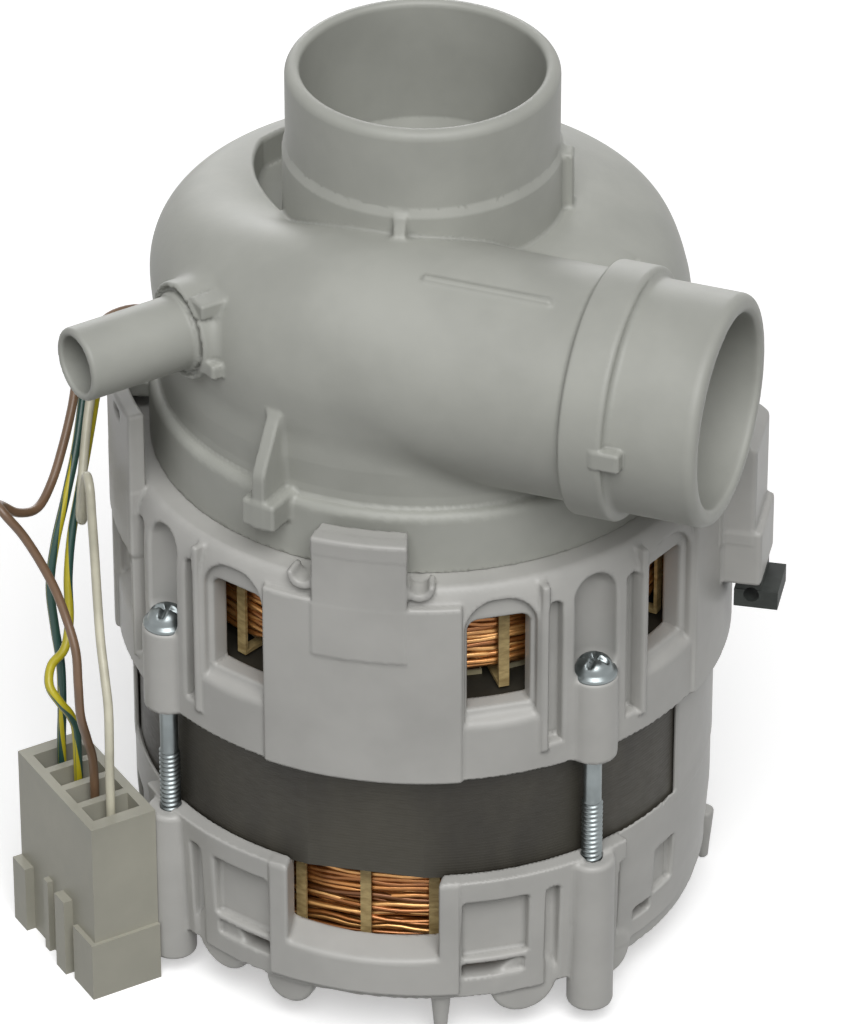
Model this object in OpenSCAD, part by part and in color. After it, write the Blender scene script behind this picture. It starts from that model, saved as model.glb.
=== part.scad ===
// Dishwasher circulation pump: a spiral plastic pump housing clamped on an open
// two-bracket motor, with its four leads and their plug.
// z = 0 is the plane that it stands on, +Z the shaft and inlet axis, +X the way out of the outlet pipe.
// Places round the shaft are compass angles: 0 at -Y, 90 at +X, seen from above.

/* [Pump housing] */
// Outside radius of the inlet collar
inlet_r = 20; // [19.5:0.1:20.5]
// Radius of the inlet collar's bore
inlet_bore_r = 17.8; // [17.2:0.1:18]
// Outside radius of the outlet pipe
outlet_r = 17; // [16.6:0.05:17.4]
// Radius of the outlet pipe's bore
outlet_bore_r = 14.25; // [13.8:0.05:14.3]
// Distance from the shaft axis to the outlet's mouth
outlet_reach = 55; // [50:0.1:60]
// Outside radius of the small side spigot
spigot_r = 5.5; // [5.2:0.1:5.8]
// Radius of the side spigot's bore
spigot_bore_r = 4.25; // [3.8:0.05:4.3]
// Distance from the shaft axis to the side spigot's mouth
spigot_reach = 58.6; // [54:0.1:62]
// Greatest radius of the spiral
volute_r = 39.8; // [39.4:0.1:40]
// Thickness of the spiral's wall
volute_wall = 2.3; // [2:0.1:2.5]

/* [Impeller] */
// Radius of the impeller
impeller_r = 28.5; // [26:0.5:29]
// Number of impeller vanes
vane_count = 6; // [5:1:7]

/* [Motor] */
// Outside radius of the motor brackets
bracket_r = 46; // [45.8:0.1:46.4]
// Radius of the stator's sheet pack
stator_r = 43.2; // [42.8:0.1:43.2]
// Radius of the rotor
rotor_r = 23; // [22:0.1:23]
// Number of stator slots
slot_count = 24; // [12:4:24]
// Radius of the shaft
shaft_r = 4; // [3.9:0.05:4]
// Number of loops in each winding head's outer layer
winding_loops = 14; // [10:1:14]
// Diameter of a winding strand
strand_d = 1.2; // [1:0.05:1.2]

/* [Leads and plug] */
// Diameter of a lead over its insulation
lead_d = 1.4; // [1.2:0.1:1.4]
// Distance between the plug's ways
plug_pitch = 5.2; // [5.1:0.05:5.25]
// Height of the plug
plug_h = 30.8; // [29:0.1:31]

/* [Hidden] */
$fn = 64;
ahead = 1; // how far a cutter runs past the face that it cuts

// Heights, from the floor up
stator_z = 29.5;
stator_top = 59.5;
upper_skirt_z = 48.9;
deck_z = 82;         // the upper bracket's top ring, which carries the pump housing
ledge_z = 92;        // top of the housing's flange
outlet_z = 109.9;    // axis of the outlet pipe
collar_z = 130.2;    // where the inlet collar's straight part starts
rim_z = 143.3;       // inlet rim
upper_bearing_z = 72;
lower_bearing_z = 13;

// Compass angles
motor_turn = 8.5;    // first of the four hook tabs
screw_rel = 45;      // screws, from the tab before them
spigot_turn = -38;
grommet_turn = -94;
wall_turn = -59.5;   // side wall over the left-hand window
buffer_turn = 98.5;

flange_r = 40.5;
deck_r = 43.5;
stator_seat_r = 43.3;
screw_circle_r = 45.3;
screw_r = 1.5;
bearing_r = 8.5;
bearing_half = 6;
lamination_flat = 42.3;
slot_in_r = 24.6;
slot_out_r = 34.5;
slot_w = 3.4;
liner_t = 0.3;
winding_in_r = 26;
winding_out_r = 37.2;
lead_r = lead_d / 2;
spiral_from = 120;
spiral_start_r = 7.6;
spiral_drift = 0.63;
spiral_dip = 2.1;
spiral_sides = 24;
dome_r = 39.5;
spigot_z = 111.5;
gusset_turn = -12;
plate_r = bracket_r + 0.6;
side_r = bracket_r - 2.1;
buffer_r = 49.8;
shroud_rim_z = 100.6;
shaft_tip_r = 3;
seal_spring_turns = 2;
winding_h = 12.7;
cage_bar_count = 17;
plug_x = -40.6;
plug_y = -36.4;
plug_turn = 50;      // about the vertical, from the shaft's axes
plug_w = 10.8;
plug_l = 4 * plug_pitch + 3;

// Routes of the four leads, from the grommet to their terminals in the plug
earth_1_route = [[-44, 4, 82.6], [-44, 4, 84.8], [-45, 4, 86.3], [-47.4, 3.2, 87.4], [-50.2, 0.6, 87.1],
    [-51.4, -3.6, 85.5], [-50.9, -8, 83], [-50.1, -11.8, 79.8], [-49.4, -16, 75.6], [-49.3, -20.4, 70.2],
    [-49.6, -24.4, 64], [-49.6, -26.8, 58], [-48.4, -28.4, 52], [-47, -29.8, 46], [-46.5, -31, 39],
    [-46.6, -31.4, 33], [-46.6, -31.4, 21]];
earth_2_route = [[-44, 2, 82.6], [-44, 2, 84.3], [-45, 2, 85.6], [-47.2, 1.5, 85.8], [-49, -1, 85.2],
    [-49.5, -4.6, 83.6], [-49, -8.4, 81.2], [-48.5, -11.8, 78.1], [-48.2, -15.2, 74], [-47.9, -19, 69.6],
    [-47.8, -22.4, 64.4], [-47.2, -25.5, 58.8], [-46, -28.3, 53.6], [-45.6, -31.4, 50.4],
    [-46.6, -34.2, 49], [-46, -36.6, 47], [-44.2, -37, 44.6], [-43, -35.8, 41.6], [-42.6, -34.8, 37],
    [-42.6, -34.7, 21]];
line_route = [[-42, 4, 82.6], [-42, 4, 85.2], [-43.2, 4.4, 87.6], [-46.8, 4, 89.3], [-50.6, 1, 88.8],
    [-52, -4.2, 86.9], [-51.7, -9, 84.2], [-51, -13.2, 81], [-50.8, -17.4, 77], [-51, -21.6, 73],
    [-51.5, -26, 71], [-52.8, -30.2, 72.4], [-54, -33.4, 75.4], [-53.6, -35.8, 77], [-51.9, -36.6, 75.9],
    [-49.7, -36, 72.8], [-47.4, -35.4, 68.4], [-45, -35.6, 64], [-42.8, -36.8, 60], [-40.6, -38.8, 56],
    [-39.6, -40.6, 51.4], [-39.2, -41, 46], [-38.9, -39.6, 41], [-38.6, -38.1, 35], [-38.6, -38.1, 21]];
neutral_route = [[-42, 2, 82.6], [-42, 2, 85], [-43.2, 2, 87], [-46.4, 1.8, 87.7], [-48.8, -0.8, 87.3],
    [-49.5, -5.2, 85.4], [-49.1, -9.6, 82.9], [-48.5, -13.2, 79.6], [-47.8, -16.6, 75.5],
    [-47.1, -19.6, 71.4], [-46.4, -22, 68.4], [-45.2, -24, 69], [-44.6, -25.2, 72.4], [-44, -25.8, 76.4],
    [-43, -27, 79.2], [-41.8, -28.8, 78.2], [-41.2, -29.8, 74.2], [-40.6, -30.6, 68], [-39.6, -32.4, 61.6],
    [-38.2, -35, 56.2], [-36.6, -37.6, 52], [-35.2, -39.8, 47.6], [-34.6, -41.2, 42.6], [-34.6, -41.4, 37],
    [-34.6, -41.4, 21]];

function unit(v) = v / norm(v);
function arc_points(cx, cy, rx, ry, from, to, steps) =
    [for (i = [0:steps]) let (t = from + (to - from) * i / steps) [cx + rx * cos(t), cy + ry * sin(t)]];

// Ring of m points round a compass angle a, at radius r and height z, for a tube that runs round the shaft
function ring_round(a, r, z, w, m) =
    [for (j = [0:m - 1]) let (p = 360 * j / m, q = r + w * cos(p)) [q * sin(a), -q * cos(a), z - w * sin(p)]];

// Triangles of a tube made of n rings of m points each
function tube_faces(n, m) = concat(
    [for (i = [0:n - 2], j = [0:m - 1]) [i * m + j, (i + 1) * m + j, (i + 1) * m + (j + 1) % m]],
    [for (i = [0:n - 2], j = [0:m - 1]) [i * m + j, (i + 1) * m + (j + 1) % m, i * m + (j + 1) % m]],
    [for (j = [1:m - 2]) [0, j, j + 1]],
    [for (j = [1:m - 2]) [(n - 1) * m, (n - 1) * m + j + 1, (n - 1) * m + j]]);

module rings_tube(rings) {
    m = len(rings[0]);
    polyhedron([for (r = rings, p = r) p], tube_faces(len(rings), m), convexity = 8);
}

// Turns +X to a compass angle
module toward(a) rotate([0, 0, a - 90]) children();

module quarters(rel = 0) for (i = [0:3]) toward(motor_turn + rel + 90 * i) children();

module both_sides(rel) {
    quarters(rel) children();
    quarters(-rel) mirror([0, 1, 0]) children();
}

// Both sides of the front and the back tab, or of the two others
module sides_of(first, rel) for (k = [first, first + 180]) {
    toward(motor_turn + k + rel) children();
    toward(motor_turn + k - rel) mirror([0, 1, 0]) children();
}

module up(z) translate([0, 0, z]) children();

module pipe(outer, inner, h) difference() {
    cylinder(r = outer, h = h);
    up(-ahead) cylinder(r = inner, h = h + 2 * ahead);
}

// Part of a round wall, centred on +X, half degrees to each side
module arc_wall(inner, outer, z0, z1, half) rotate([0, 0, -half]) rotate_extrude(angle = 2 * half)
    translate([inner, z0]) square([outer - inner, z1 - z0]);

module radial_cylinder(from, to, r) translate([from, 0, 0]) rotate([0, 90, 0]) cylinder(r = r, h = to - from);

outlet_y = outlet_r - volute_r - spiral_drift;

// Tube that grows round the shaft: it leaves the dome's skin at spiral_from and ends in the outlet pipe
module spiral(shrink) rings_tube([for (a = [spiral_from:12:360])
    let (s = (a - spiral_from) / (360 - spiral_from), g = pow(s, 6) * (7 - 6 * s),
         rho = spiral_start_r + (outlet_r - spiral_start_r - 0.12) * g)
    ring_round(a, volute_r + spiral_drift * g - spiral_dip * pow(1 - s, 4) - rho, outlet_z, rho - shrink,
        spiral_sides)]);

module housing_dome() rotate_extrude() polygon(concat(
    [[0, deck_z], [flange_r, deck_z], [flange_r, ledge_z], [dome_r, ledge_z]],
    arc_points(21, 104, dome_r - 21, 17, 0, 90, 12), [[0, 121]]));

module housing_collar() rotate_extrude() polygon([[0, 112.4], [20.5, 112.4], [20.5, collar_z], [inlet_r, collar_z],
    [inlet_r, rim_z - 1.1], [inlet_r - 1.6, rim_z], [0, rim_z]]);

// Hollow between the collar and the crest of the shoulder, drawn out by t all round
module well(t) up(113.5 - t) linear_extrude(20) intersection() {
    translate([1.9, 13.7]) circle(r = 31.3 + t);
    circle(r = 31.2 + t);
    polygon(concat([[0, 0]], [for (a = t > 0 ? [-35, -100, -172] : [-44, -105, -165]) 60 * [sin(a), -cos(a)]]));
}

module housing_chamber() rotate_extrude() polygon(concat(
    [[0, deck_z - ahead], [38.3, deck_z - ahead], [38.3, 88], [36, 88]],
    arc_points(18, 103, 18, 15.6, 0, 90, 10), [[0, 118.6]]));

// Solid that stays inside the chamber: the suction neck down to the impeller's eye
module housing_neck() rotate_extrude()
    polygon([[0, 106], [15.2, 106], [15.2, 112], [20.5, 124], [20.5, 127], [0, 127]]);

module housing_suction() rotate_extrude() polygon([[0, 105], [13, 105], [13, 112], [inlet_bore_r, 124],
    [inlet_bore_r, rim_z + ahead], [0, rim_z + ahead]]);

module outlet_cylinder(from, to, r) translate([from, outlet_y, outlet_z]) rotate([0, 90, 0])
    cylinder(r = r, h = to - from);

module outlet_pipe() translate([0, outlet_y, outlet_z]) rotate([0, 90, 0]) rotate_extrude()
    polygon([[0, -0.5], [outlet_r, -0.5], [outlet_r, outlet_reach - 1.4], [outlet_r - 1.2, outlet_reach], [0, outlet_reach]]);

module housing_gusset() toward(gusset_turn) {
    translate([0, 1.1, 0]) rotate([90, 0, 0]) linear_extrude(2.2)
        polygon([[36, 88], [44.8, 88], [44.8, 97], [40.2, 105.5], [36, 105.5]]);
    translate([38, -2.8, 88]) cube([7, 5.6, 4.6]);
}

module pump_housing() color([0.62, 0.62, 0.60]) difference() {
    union() {
        difference() {
            union() {
                housing_dome();
                spiral(0);
                outlet_pipe();
                outlet_cylinder(35.2, 41.7, outlet_r + 1.55);
                toward(spigot_turn) up(spigot_z) {
                    radial_cylinder(30, spigot_reach, spigot_r);
                    radial_cylinder(30, 41.4, spigot_r + 1.8);
                }
                quarters() arc_wall(39, 44.2, 84.5, 87.2, 8);
                housing_gusset();
                translate([10.6, outlet_y - 6.1, outlet_z]) cube([19.4, 1, 16.6]);
            }
            well(0);
        }
        housing_collar();
        toward(105) translate([18.8, -1.6, 119]) cube([3.2, 3.2, 11]);
        toward(11) translate([0, 0.9, 0]) rotate([90, 0, 0]) linear_extrude(1.8)
            polygon([[19, 119.6], [24, 119.6], [24, 121.8], [20.8, 129.8], [19, 129.8]]);
    }
    difference() {
        union() {
            housing_chamber();
            spiral(volute_wall);
            outlet_cylinder(-0.5, outlet_reach + ahead, outlet_bore_r);
        }
        housing_neck();
        well(volute_wall);
    }
    housing_suction();
    toward(spigot_turn) up(spigot_z) {
        radial_cylinder(31, 43, 3.2);
        radial_cylinder(42, spigot_reach + ahead, spigot_bore_r);
    }
}

module housing_seal_ring() color([0.12, 0.12, 0.12]) rotate_extrude()
    translate([37.15, 86.95]) circle(r = 1.04);

module back_plate() color([0.72, 0.72, 0.70]) rotate_extrude()
    polygon([[6, 83.4], [34, 83.4], [34, deck_z], [38.1, deck_z], [38.1, 85.9], [13.4, 85.9], [13.4, 91],
        [11, 91], [11, 85.4], [6, 85.4]]);

// One curved vane, from the eye out to the rim
module vane_outline() difference() {
    intersection() {
        translate([0, -15]) difference() {
            circle(r = 17.7);
            circle(r = 16.3);
        }
        translate([0, -40]) square([40, 80]);
        circle(r = impeller_r - 0.2);
    }
    circle(r = 12.4);
}

module impeller() color([0.85, 0.85, 0.82]) {
    rotate_extrude() polygon([[11.6, 92], [impeller_r, 92], [impeller_r, 93.6], [15.5, 94.6], [13.6, 96.5],
        [13.2, 100.5], [9.5, 103], [6.8, 106], [0, 107], [0, 103.8], [5.5, 103.8], [5.5, 100], [11.6, 100]]);
    for (i = [0:vane_count - 1]) rotate([0, 0, i * 360 / vane_count]) intersection() {
        up(92.5) linear_extrude(12) vane_outline();
        rotate_extrude() polygon([[12, 92.5], [12, 103.8], [impeller_r, shroud_rim_z], [impeller_r, 92.5]]);
    }
}

module impeller_shroud() color([0.85, 0.85, 0.82]) rotate_extrude()
    polygon([[11.8, 109.5], [11.8, 103.9], [impeller_r, shroud_rim_z], [impeller_r, shroud_rim_z + 1.4],
        [13.2, 105.3], [12.6, 105.3], [12.6, 109.5]]);

module impeller_insert() color([0.75, 0.6, 0.25]) up(100) pipe(5.5, shaft_tip_r, 3.8);

module seal_face() color([0.15, 0.15, 0.16]) up(91.1) pipe(8.2, 5.2, 2.5);

module seal_bellows() color([0.1, 0.1, 0.1]) rotate_extrude()
    polygon([[8.2, 92.4], [9.3, 92.4], [9.3, 94.6], [6.6, 94.6], [6.6, 98.4], [11.5, 98.4], [11.5, 99.9],
        [shaft_r, 99.9], [shaft_r, 96.5], [5.4, 96.5], [5.4, 93.6], [8.2, 93.6]]);

module seal_spring() color([0.8, 0.8, 0.82]) rings_tube([for (i = [0:8 * seal_spring_turns])
    ring_round(45 * i, 8.2, 95.1 + 2.8 * i / (8 * seal_spring_turns), 0.4, 6)]);

module seal_seat() color([0.92, 0.9, 0.86]) up(86.8) pipe(9.6, 5.4, 4.2);

module seal_seat_cup() color([0.1, 0.1, 0.1]) rotate_extrude()
    polygon([[7, 85.4], [11, 85.4], [11, 90.4], [9.6, 90.4], [9.6, 86.8], [7, 86.8]]);

module shaft_slinger() color([0.1, 0.1, 0.1]) rotate_extrude()
    polygon([[shaft_r, 80.6], [5.4, 80.6], [5.4, 81.2], [9, 81.2], [9, 82.2], [shaft_r, 82.2]]);

// Room of the motor shaft's bearing: a ball seat, a ring of felt and the clip's seat
module bearing_room(h) {
    up(-3) mirror([0, 0, 1]) cylinder(r = shaft_r + 1.5, h = h);
    up(-3) cylinder(r = 13, h = 20);
    sphere(r = bearing_r + 0.02);
}

module upper_bracket_skin() rotate_extrude() polygon(concat(
    [[shaft_r + 2, 77.5], [41, 77.5], [41, stator_top], [stator_seat_r, stator_top],
        [stator_seat_r, upper_skirt_z], [bracket_r, upper_skirt_z]],
    arc_points(deck_r, 73.5, bracket_r - deck_r, deck_z - 73.5, 0, 90, 8),
    [[33, deck_z], [33, 80], [shaft_r + 2, 80]]));

// Places of the half-round lips, all but the one beside the leads
module beside_tabs() for (a = [-10.9, 10.9, 79.1, 100.9, 169.1, 190.9, 280.9]) toward(motor_turn + a) children();

module upper_window() {
    translate([38, -4.2, 62]) cube([12, 8.4, 16.5]);
    translate([0, 6, 0]) rotate([90, 0, 0]) linear_extrude(10.2)
        polygon([[43, 61.6], [46.6, 55.4], [50, 49.5], [50, 79.6], [43, 79.6]]);
}

module upper_bracket() color([0.80, 0.80, 0.78]) difference() {
    union() {
        difference() {
            union() {
                upper_bracket_skin();
                quarters() arc_wall(43.6, plate_r, upper_skirt_z - 0.2, 78.6, 18.5);
            }
            both_sides(25.5) upper_window();
            both_sides(36.2) translate([43.8, -1.1, 52.5]) cube([6, 2.2, 24.5]);
            quarters(screw_rel) {
                translate([screw_circle_r + 0.2, 0, 62]) cylinder(r = 3.5, h = 14);
                translate([screw_circle_r + 0.2, 0, 76]) sphere(r = 3.5);
            }
        }
        quarters() {
            arc_wall(44.4, plate_r + 0.15, 70, 90.5, 8.7);
            arc_wall(42.2, plate_r + 0.15, 87.4, 90.5, 8.7);
        }
        beside_tabs() difference() {
            up(82.7) radial_cylinder(42.6, plate_r - 0.6, 2.3);
            translate([40, -4, 83.3]) cube([8, 8, 4]);
        }
        quarters(screw_rel) translate([screw_circle_r, 0, upper_skirt_z - 0.5])
            cylinder(r = 3.6, h = 63.3 - upper_skirt_z);
        up(66) cylinder(r = 15, h = 12);
        toward(wall_turn) arc_wall(44.2, plate_r + 0.15, 70, 94.5, 13);
        toward(buffer_turn) {
            translate([45, -6, 63]) cube([7.3, 12, 9.6]);
            translate([0, 5.9, 0]) rotate([90, 0, 0]) linear_extrude(11.8)
                polygon([[45.2, 70], [51.2, 70], [51.2, 86.9], [49.6, 88.2], [45.2, 88.2]]);
        }
    }
    up(40) cylinder(r = stator_seat_r, h = stator_top - 40);
    quarters(screw_rel) translate([screw_circle_r, 0, 40]) cylinder(r = 1.75, h = 30);
    beside_tabs() up(83.2) radial_cylinder(40, 50, 1.25);
    up(upper_bearing_z) mirror([0, 0, 1]) bearing_room(20);
    toward(grommet_turn) translate([40.8, -2.3, 74]) cube([4.4, 4.6, 12]);
    toward(wall_turn + 6) translate([43, -1.4, 91.6]) cube([5, 2.8, 1.3]);
    toward(buffer_turn) {
        translate([buffer_r, 0, 60]) cylinder(r = 1.7, h = 8);
        translate([46.4, -4.6, 80]) cube([3, 9.2, 12]);
    }
}

module bearing() difference() {
    intersection() {
        sphere(r = bearing_r);
        up(-bearing_half) cylinder(r = bearing_r + 1, h = 2 * bearing_half);
    }
    up(-bearing_half - ahead) cylinder(r = shaft_r + 0.04, h = 2 * bearing_half + 2 * ahead);
}

module bearing_clip() rotate_extrude()
    polygon([[7.6, 4.4], [9.6, 4.4], [11.2, 2.8], [13, 2.8], [13, 3.4], [11.5, 3.4], [9.9, 5], [7.6, 5]]);

module felt_ring() up(-3) pipe(12.9, bearing_r + 0.1, 4.6);

module upper_bearing() color([0.70, 0.55, 0.30]) up(upper_bearing_z) bearing();
module lower_bearing() color([0.70, 0.55, 0.30]) up(lower_bearing_z) bearing();
module upper_bearing_clip() color([0.7, 0.7, 0.72]) up(upper_bearing_z) mirror([0, 0, 1]) bearing_clip();
module lower_bearing_clip() color([0.7, 0.7, 0.72]) up(lower_bearing_z) bearing_clip();
module upper_felt_ring() color([0.75, 0.72, 0.62]) up(upper_bearing_z) mirror([0, 0, 1]) felt_ring();
module lower_felt_ring() color([0.75, 0.72, 0.62]) up(lower_bearing_z) felt_ring();

// Half outline of a slot, drawn in by t all round
function slot_outline(t) = [[slot_in_r + t, -slot_w / 2 + t], [slot_out_r - t, -slot_w / 2 - 1 + t],
    [slot_out_r - t, slot_w / 2 + 1 - t], [slot_in_r + t, slot_w / 2 - t]];

module slots(t) for (i = [0:slot_count - 1]) rotate([0, 0, i * 360 / slot_count]) polygon(slot_outline(t));

module stator_core() color([0.25, 0.24, 0.21]) up(stator_z) linear_extrude(stator_top - stator_z) difference() {
    intersection() {
        circle(r = stator_r);
        rotate([0, 0, motor_turn - 90]) square(2 * lamination_flat, center = true);
    }
    circle(r = rotor_r + 0.4);
    slots(0);
    for (i = [0:slot_count - 1]) rotate([0, 0, i * 360 / slot_count]) translate([rotor_r, -0.8]) square([3, 1.6]);
}

module slot_liners() color([0.85, 0.83, 0.72]) up(stator_z - 0.8) linear_extrude(stator_top - stator_z + 1.6)
    difference() {
        slots(0);
        slots(liner_t);
    }

module slot_windings() color([0.72, 0.42, 0.2]) up(stator_z - 1.3) linear_extrude(stator_top - stator_z + 2.6)
    slots(liner_t);

// Path of the outer layer of strands over a winding head: up its side, round the edge and in over its top
strand_off = 0.4 + strand_d / 2;
head_edge = 1.4;
head_side = winding_h - head_edge - 0.7;
head_arc = (head_edge + strand_off) * PI / 2;
head_top = winding_out_r - head_edge - 26.8;
head_path = head_side + head_arc + head_top;
function head_point(d) = let (r = head_edge + strand_off, cr = winding_out_r - head_edge, cz = winding_h - head_edge)
    d < head_side ? [cr + r, cz - head_side + d] :
    d < head_side + head_arc ? let (t = (d - head_side) / head_arc * 90) [cr + r * cos(t), cz + r * sin(t)] :
    [cr - (d - head_side - head_arc), cz + r];
head_rings = [for (i = [0:24 * winding_loops])
    let (p = head_point(head_path * i / (24 * winding_loops))) [15 * i, p[0], p[1]]];
head_gap = min([for (i = [0:24 * (winding_loops - 1)])
    norm([head_rings[i + 24][1] - head_rings[i][1], head_rings[i + 24][2] - head_rings[i][2]])]) - strand_d;
echo(winding_least_gap_mm = head_gap);

module winding_head() {
    rotate_extrude() polygon(concat([[winding_in_r, 0], [winding_out_r, 0]],
        arc_points(winding_out_r - head_edge, winding_h - head_edge, head_edge, head_edge, 0, 90, 4),
        [[winding_in_r, winding_h]]));
    rings_tube([for (h = head_rings) ring_round(h[0], h[1], h[2], strand_d / 2, 6)]);
}

module upper_winding() color([0.72, 0.42, 0.2]) up(stator_top + 1.3) winding_head();
module lower_winding() color([0.72, 0.42, 0.2]) up(stator_z - 1.3) mirror([0, 0, 1]) winding_head();

// Cord loops that tie a winding head, one over every tooth
module lacing() {
    in_r = winding_in_r - 0.15;
    out_r = winding_out_r + strand_off + strand_d / 2 + 0.1;
    top = winding_h + strand_off + strand_d / 2 + 0.1;
    for (i = [0:slot_count - 1]) rotate([0, 0, (i + 0.5) * 360 / slot_count]) difference() {
        translate([in_r - 0.5, -0.8, -0.7]) cube([out_r - in_r + 1, 1.6, top + 1.2]);
        translate([in_r, -0.8 - ahead, -0.15]) cube([out_r - in_r, 1.6 + 2 * ahead, top + 0.15]);
    }
}

module upper_lacing() color([0.80, 0.72, 0.5]) up(stator_top + 1.3) lacing();
module lower_lacing() color([0.80, 0.72, 0.5]) up(stator_z - 1.3) mirror([0, 0, 1]) lacing();

module cage_bars(r) for (i = [0:cage_bar_count - 1]) rotate([0, 0, i * 360 / cage_bar_count])
    translate([20.4, 0, stator_z]) cylinder(r = r, h = stator_top - stator_z);

module rotor_core() color([0.4, 0.4, 0.42]) difference() {
    up(stator_z) pipe(rotor_r, shaft_r, stator_top - stator_z);
    up(-ahead / 2) cage_bars(1.3);
    up(ahead / 2) cage_bars(1.3);
}

module cage_end() {
    pipe(21.8, 13, 3);
    for (i = [0:9]) rotate([0, 0, 36 * i]) translate([15.2, -0.8, 2.5]) cube([5.6, 1.6, 3]);
}

module rotor_cage() color([0.78, 0.78, 0.8]) {
    cage_bars(1.3);
    up(stator_top) cage_end();
    up(stator_z) mirror([0, 0, 1]) cage_end();
}

module rotor_shaft() color([0.75, 0.76, 0.78]) {
    up(5.6) cylinder(r = shaft_r, h = 94.4);
    up(100) cylinder(r = shaft_tip_r, h = 3.4);
}

module rotor_spacers() color([0.6, 0.6, 0.62]) {
    up(20.6) pipe(6, shaft_r, stator_z - 20.6);
    up(stator_top) pipe(6, shaft_r, 4.9);
}

module thrust_washers() color([0.35, 0.2, 0.12]) {
    up(19.3) pipe(7, shaft_r, 1.3);
    up(stator_top + 4.9) pipe(7, shaft_r, 1.3);
}

module lower_bracket_skin() rotate_extrude()
    polygon([[0, 8.4], [bracket_r - 1, 8.4], [bracket_r, stator_z], [bracket_r, 30.2], [41.2, 30.2], [41.2, 11], [0, 11]]);

// The two sides between the screws, which are drawn in
module lower_bracket_side() rotate([0, 0, -37.6]) rotate_extrude(angle = 75.2)
    polygon([[40.4, 6], [42.5, 6], [43.5, 14], [side_r, 20], [side_r, 30.1], [40.4, 30.1]]);

module lower_bracket_cuts() {
    for (k = [0, 180]) toward(motor_turn + k) translate([0, 11.4, 0]) rotate([90, 0, 0]) linear_extrude(22.8)
        polygon([[38, 18.8], [50, 14.8], [50, 32], [38, 32]]);
    sides_of(0, 25.3) {
        translate([43.6, -5, 15.6]) cube([6, 10, 10.6]);
        translate([38, -5, 12]) cube([12, 9.6, 2.6]);
    }
    sides_of(90, 22.4) translate([42.3, -2.6, 14.2]) cube([6, 5.2, 8.2]);
    sides_of(90, 29) translate([38, -2, 11.6]) cube([12, 4, 2.2]);
    sides_of(0, 36.6) translate([43.8, -1.1, 7]) cube([6, 2.2, 19.5]);
    sides_of(90, 37.4) translate([42.5, -0.9, 5]) cube([6, 1.8, 21.5]);
    quarters(22.5) arc_wall(18, 37, 7, 12, 15);
    quarters(-22.5) arc_wall(18, 37, 7, 12, 15);
}

module lower_bracket() color([0.80, 0.80, 0.78]) difference() {
    union() {
        difference() {
            union() {
                difference() {
                    union() {
                        lower_bracket_skin();
                        for (k = [0, 180]) toward(motor_turn + k) arc_wall(44, plate_r - 0.3, 9.6, 30.2, 18.3);
                    }
                    for (k = [90, 270]) toward(motor_turn + k) arc_wall(43.2, 50, 0, 40, 37);
                }
                for (k = [90, 270]) toward(motor_turn + k) lower_bracket_side();
            }
            lower_bracket_cuts();
        }
        quarters(screw_rel) translate([screw_circle_r, 0, 3]) cylinder(r = 3.5, h = 26.7);
        for (k = [90, 270]) toward(motor_turn + k) arc_wall(41.6, side_r + 0.15, 28.5, 48.5, 19);
        for (k = [0, 180]) toward(motor_turn + k) {
            rotate([0, 0, 31.5]) up(9) radial_cylinder(41.6, 44.4, 5.2);
            rotate([0, 0, -31.5]) up(10.2) radial_cylinder(41.6, 44.4, 5.2);
            rotate([0, 0, -15.5]) {
                up(7.6) radial_cylinder(41.6, 44.4, 3.8);
                translate([41.6, -3.1, 7.6]) cube([2.8, 6.2, 4]);
            }
        }
        for (k = [90, 270]) toward(motor_turn + k - 37.6) up(7.6) radial_cylinder(40.6, 43.3, 3.8);
        quarters(15) translate([43.4, 0, 0]) cylinder(r1 = 0.8, r2 = 1.6, h = 9);
        cylinder(r1 = 13.5, r2 = 15, h = 1.5);
        up(1.5) cylinder(r = 15, h = 17.5);
    }
    up(stator_z) linear_extrude(20) intersection() {
        circle(r = stator_seat_r + 0.1);
        rotate([0, 0, motor_turn - 90]) square(2 * lamination_flat + 0.2, center = true);
    }
    up(lower_bearing_z) bearing_room(7);
    quarters(screw_rel) translate([screw_circle_r, 0, 5]) cylinder(r = 1.62, h = 30);
}

module motor_screws() color([0.72, 0.76, 0.8]) quarters(screw_rel) translate([screw_circle_r, 0, 0]) {
    up(6) cylinder(r = 1.6, h = 30);
    up(36) cylinder(r = screw_r, h = 27);
    difference() {
        up(62.8) cylinder(r1 = 2.8, r2 = 2.3, h = 2.4);
        for (q = [0, 90]) rotate([0, 0, q]) translate([-1.5, -0.35, 64]) cube([3, 0.7, 3]);
    }
}

module lead_grommet() color([0.2, 0.2, 0.2]) toward(grommet_turn) {
    translate([40.8, -2.3, 76]) cube([4.4, 4.6, 5.4]);
    translate([40.8, -2.8, 82]) cube([4.9, 5.6, 0.6]);
    translate([40.8, -2.3, 81.4]) cube([4.4, 4.6, 1]);
}

// Rings of a tube of radius w along a route, their frames carried from the first
function steps_of(p) = [for (i = [0:len(p) - 1]) unit(p[min(i + 1, len(p) - 1)] - p[max(i - 1, 0)])];
function carried(t, i, u) = i == len(t) ? [] : let (v = unit(u - (u * t[i]) * t[i])) concat([v], carried(t, i + 1, v));
function route_rings(p, w, m) = let (t = steps_of(p), u = carried(t, 0, [1, 0, 0]))
    [for (i = [0:len(p) - 1]) let (v = cross(t[i], u[i]))
        [for (j = [0:m - 1]) p[i] + w * (cos(360 * j / m) * u[i] + sin(360 * j / m) * v)]];

module lead(route) rings_tube(route_rings(route, lead_r, 8));

module lead_earth_1() color([0.55, 0.62, 0.15]) lead(earth_1_route);
module lead_earth_2() color([0.7, 0.68, 0.1]) lead(earth_2_route);
module lead_line() color([0.45, 0.32, 0.22]) lead(line_route);
module lead_neutral() color([0.85, 0.84, 0.74]) lead(neutral_route);

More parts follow.
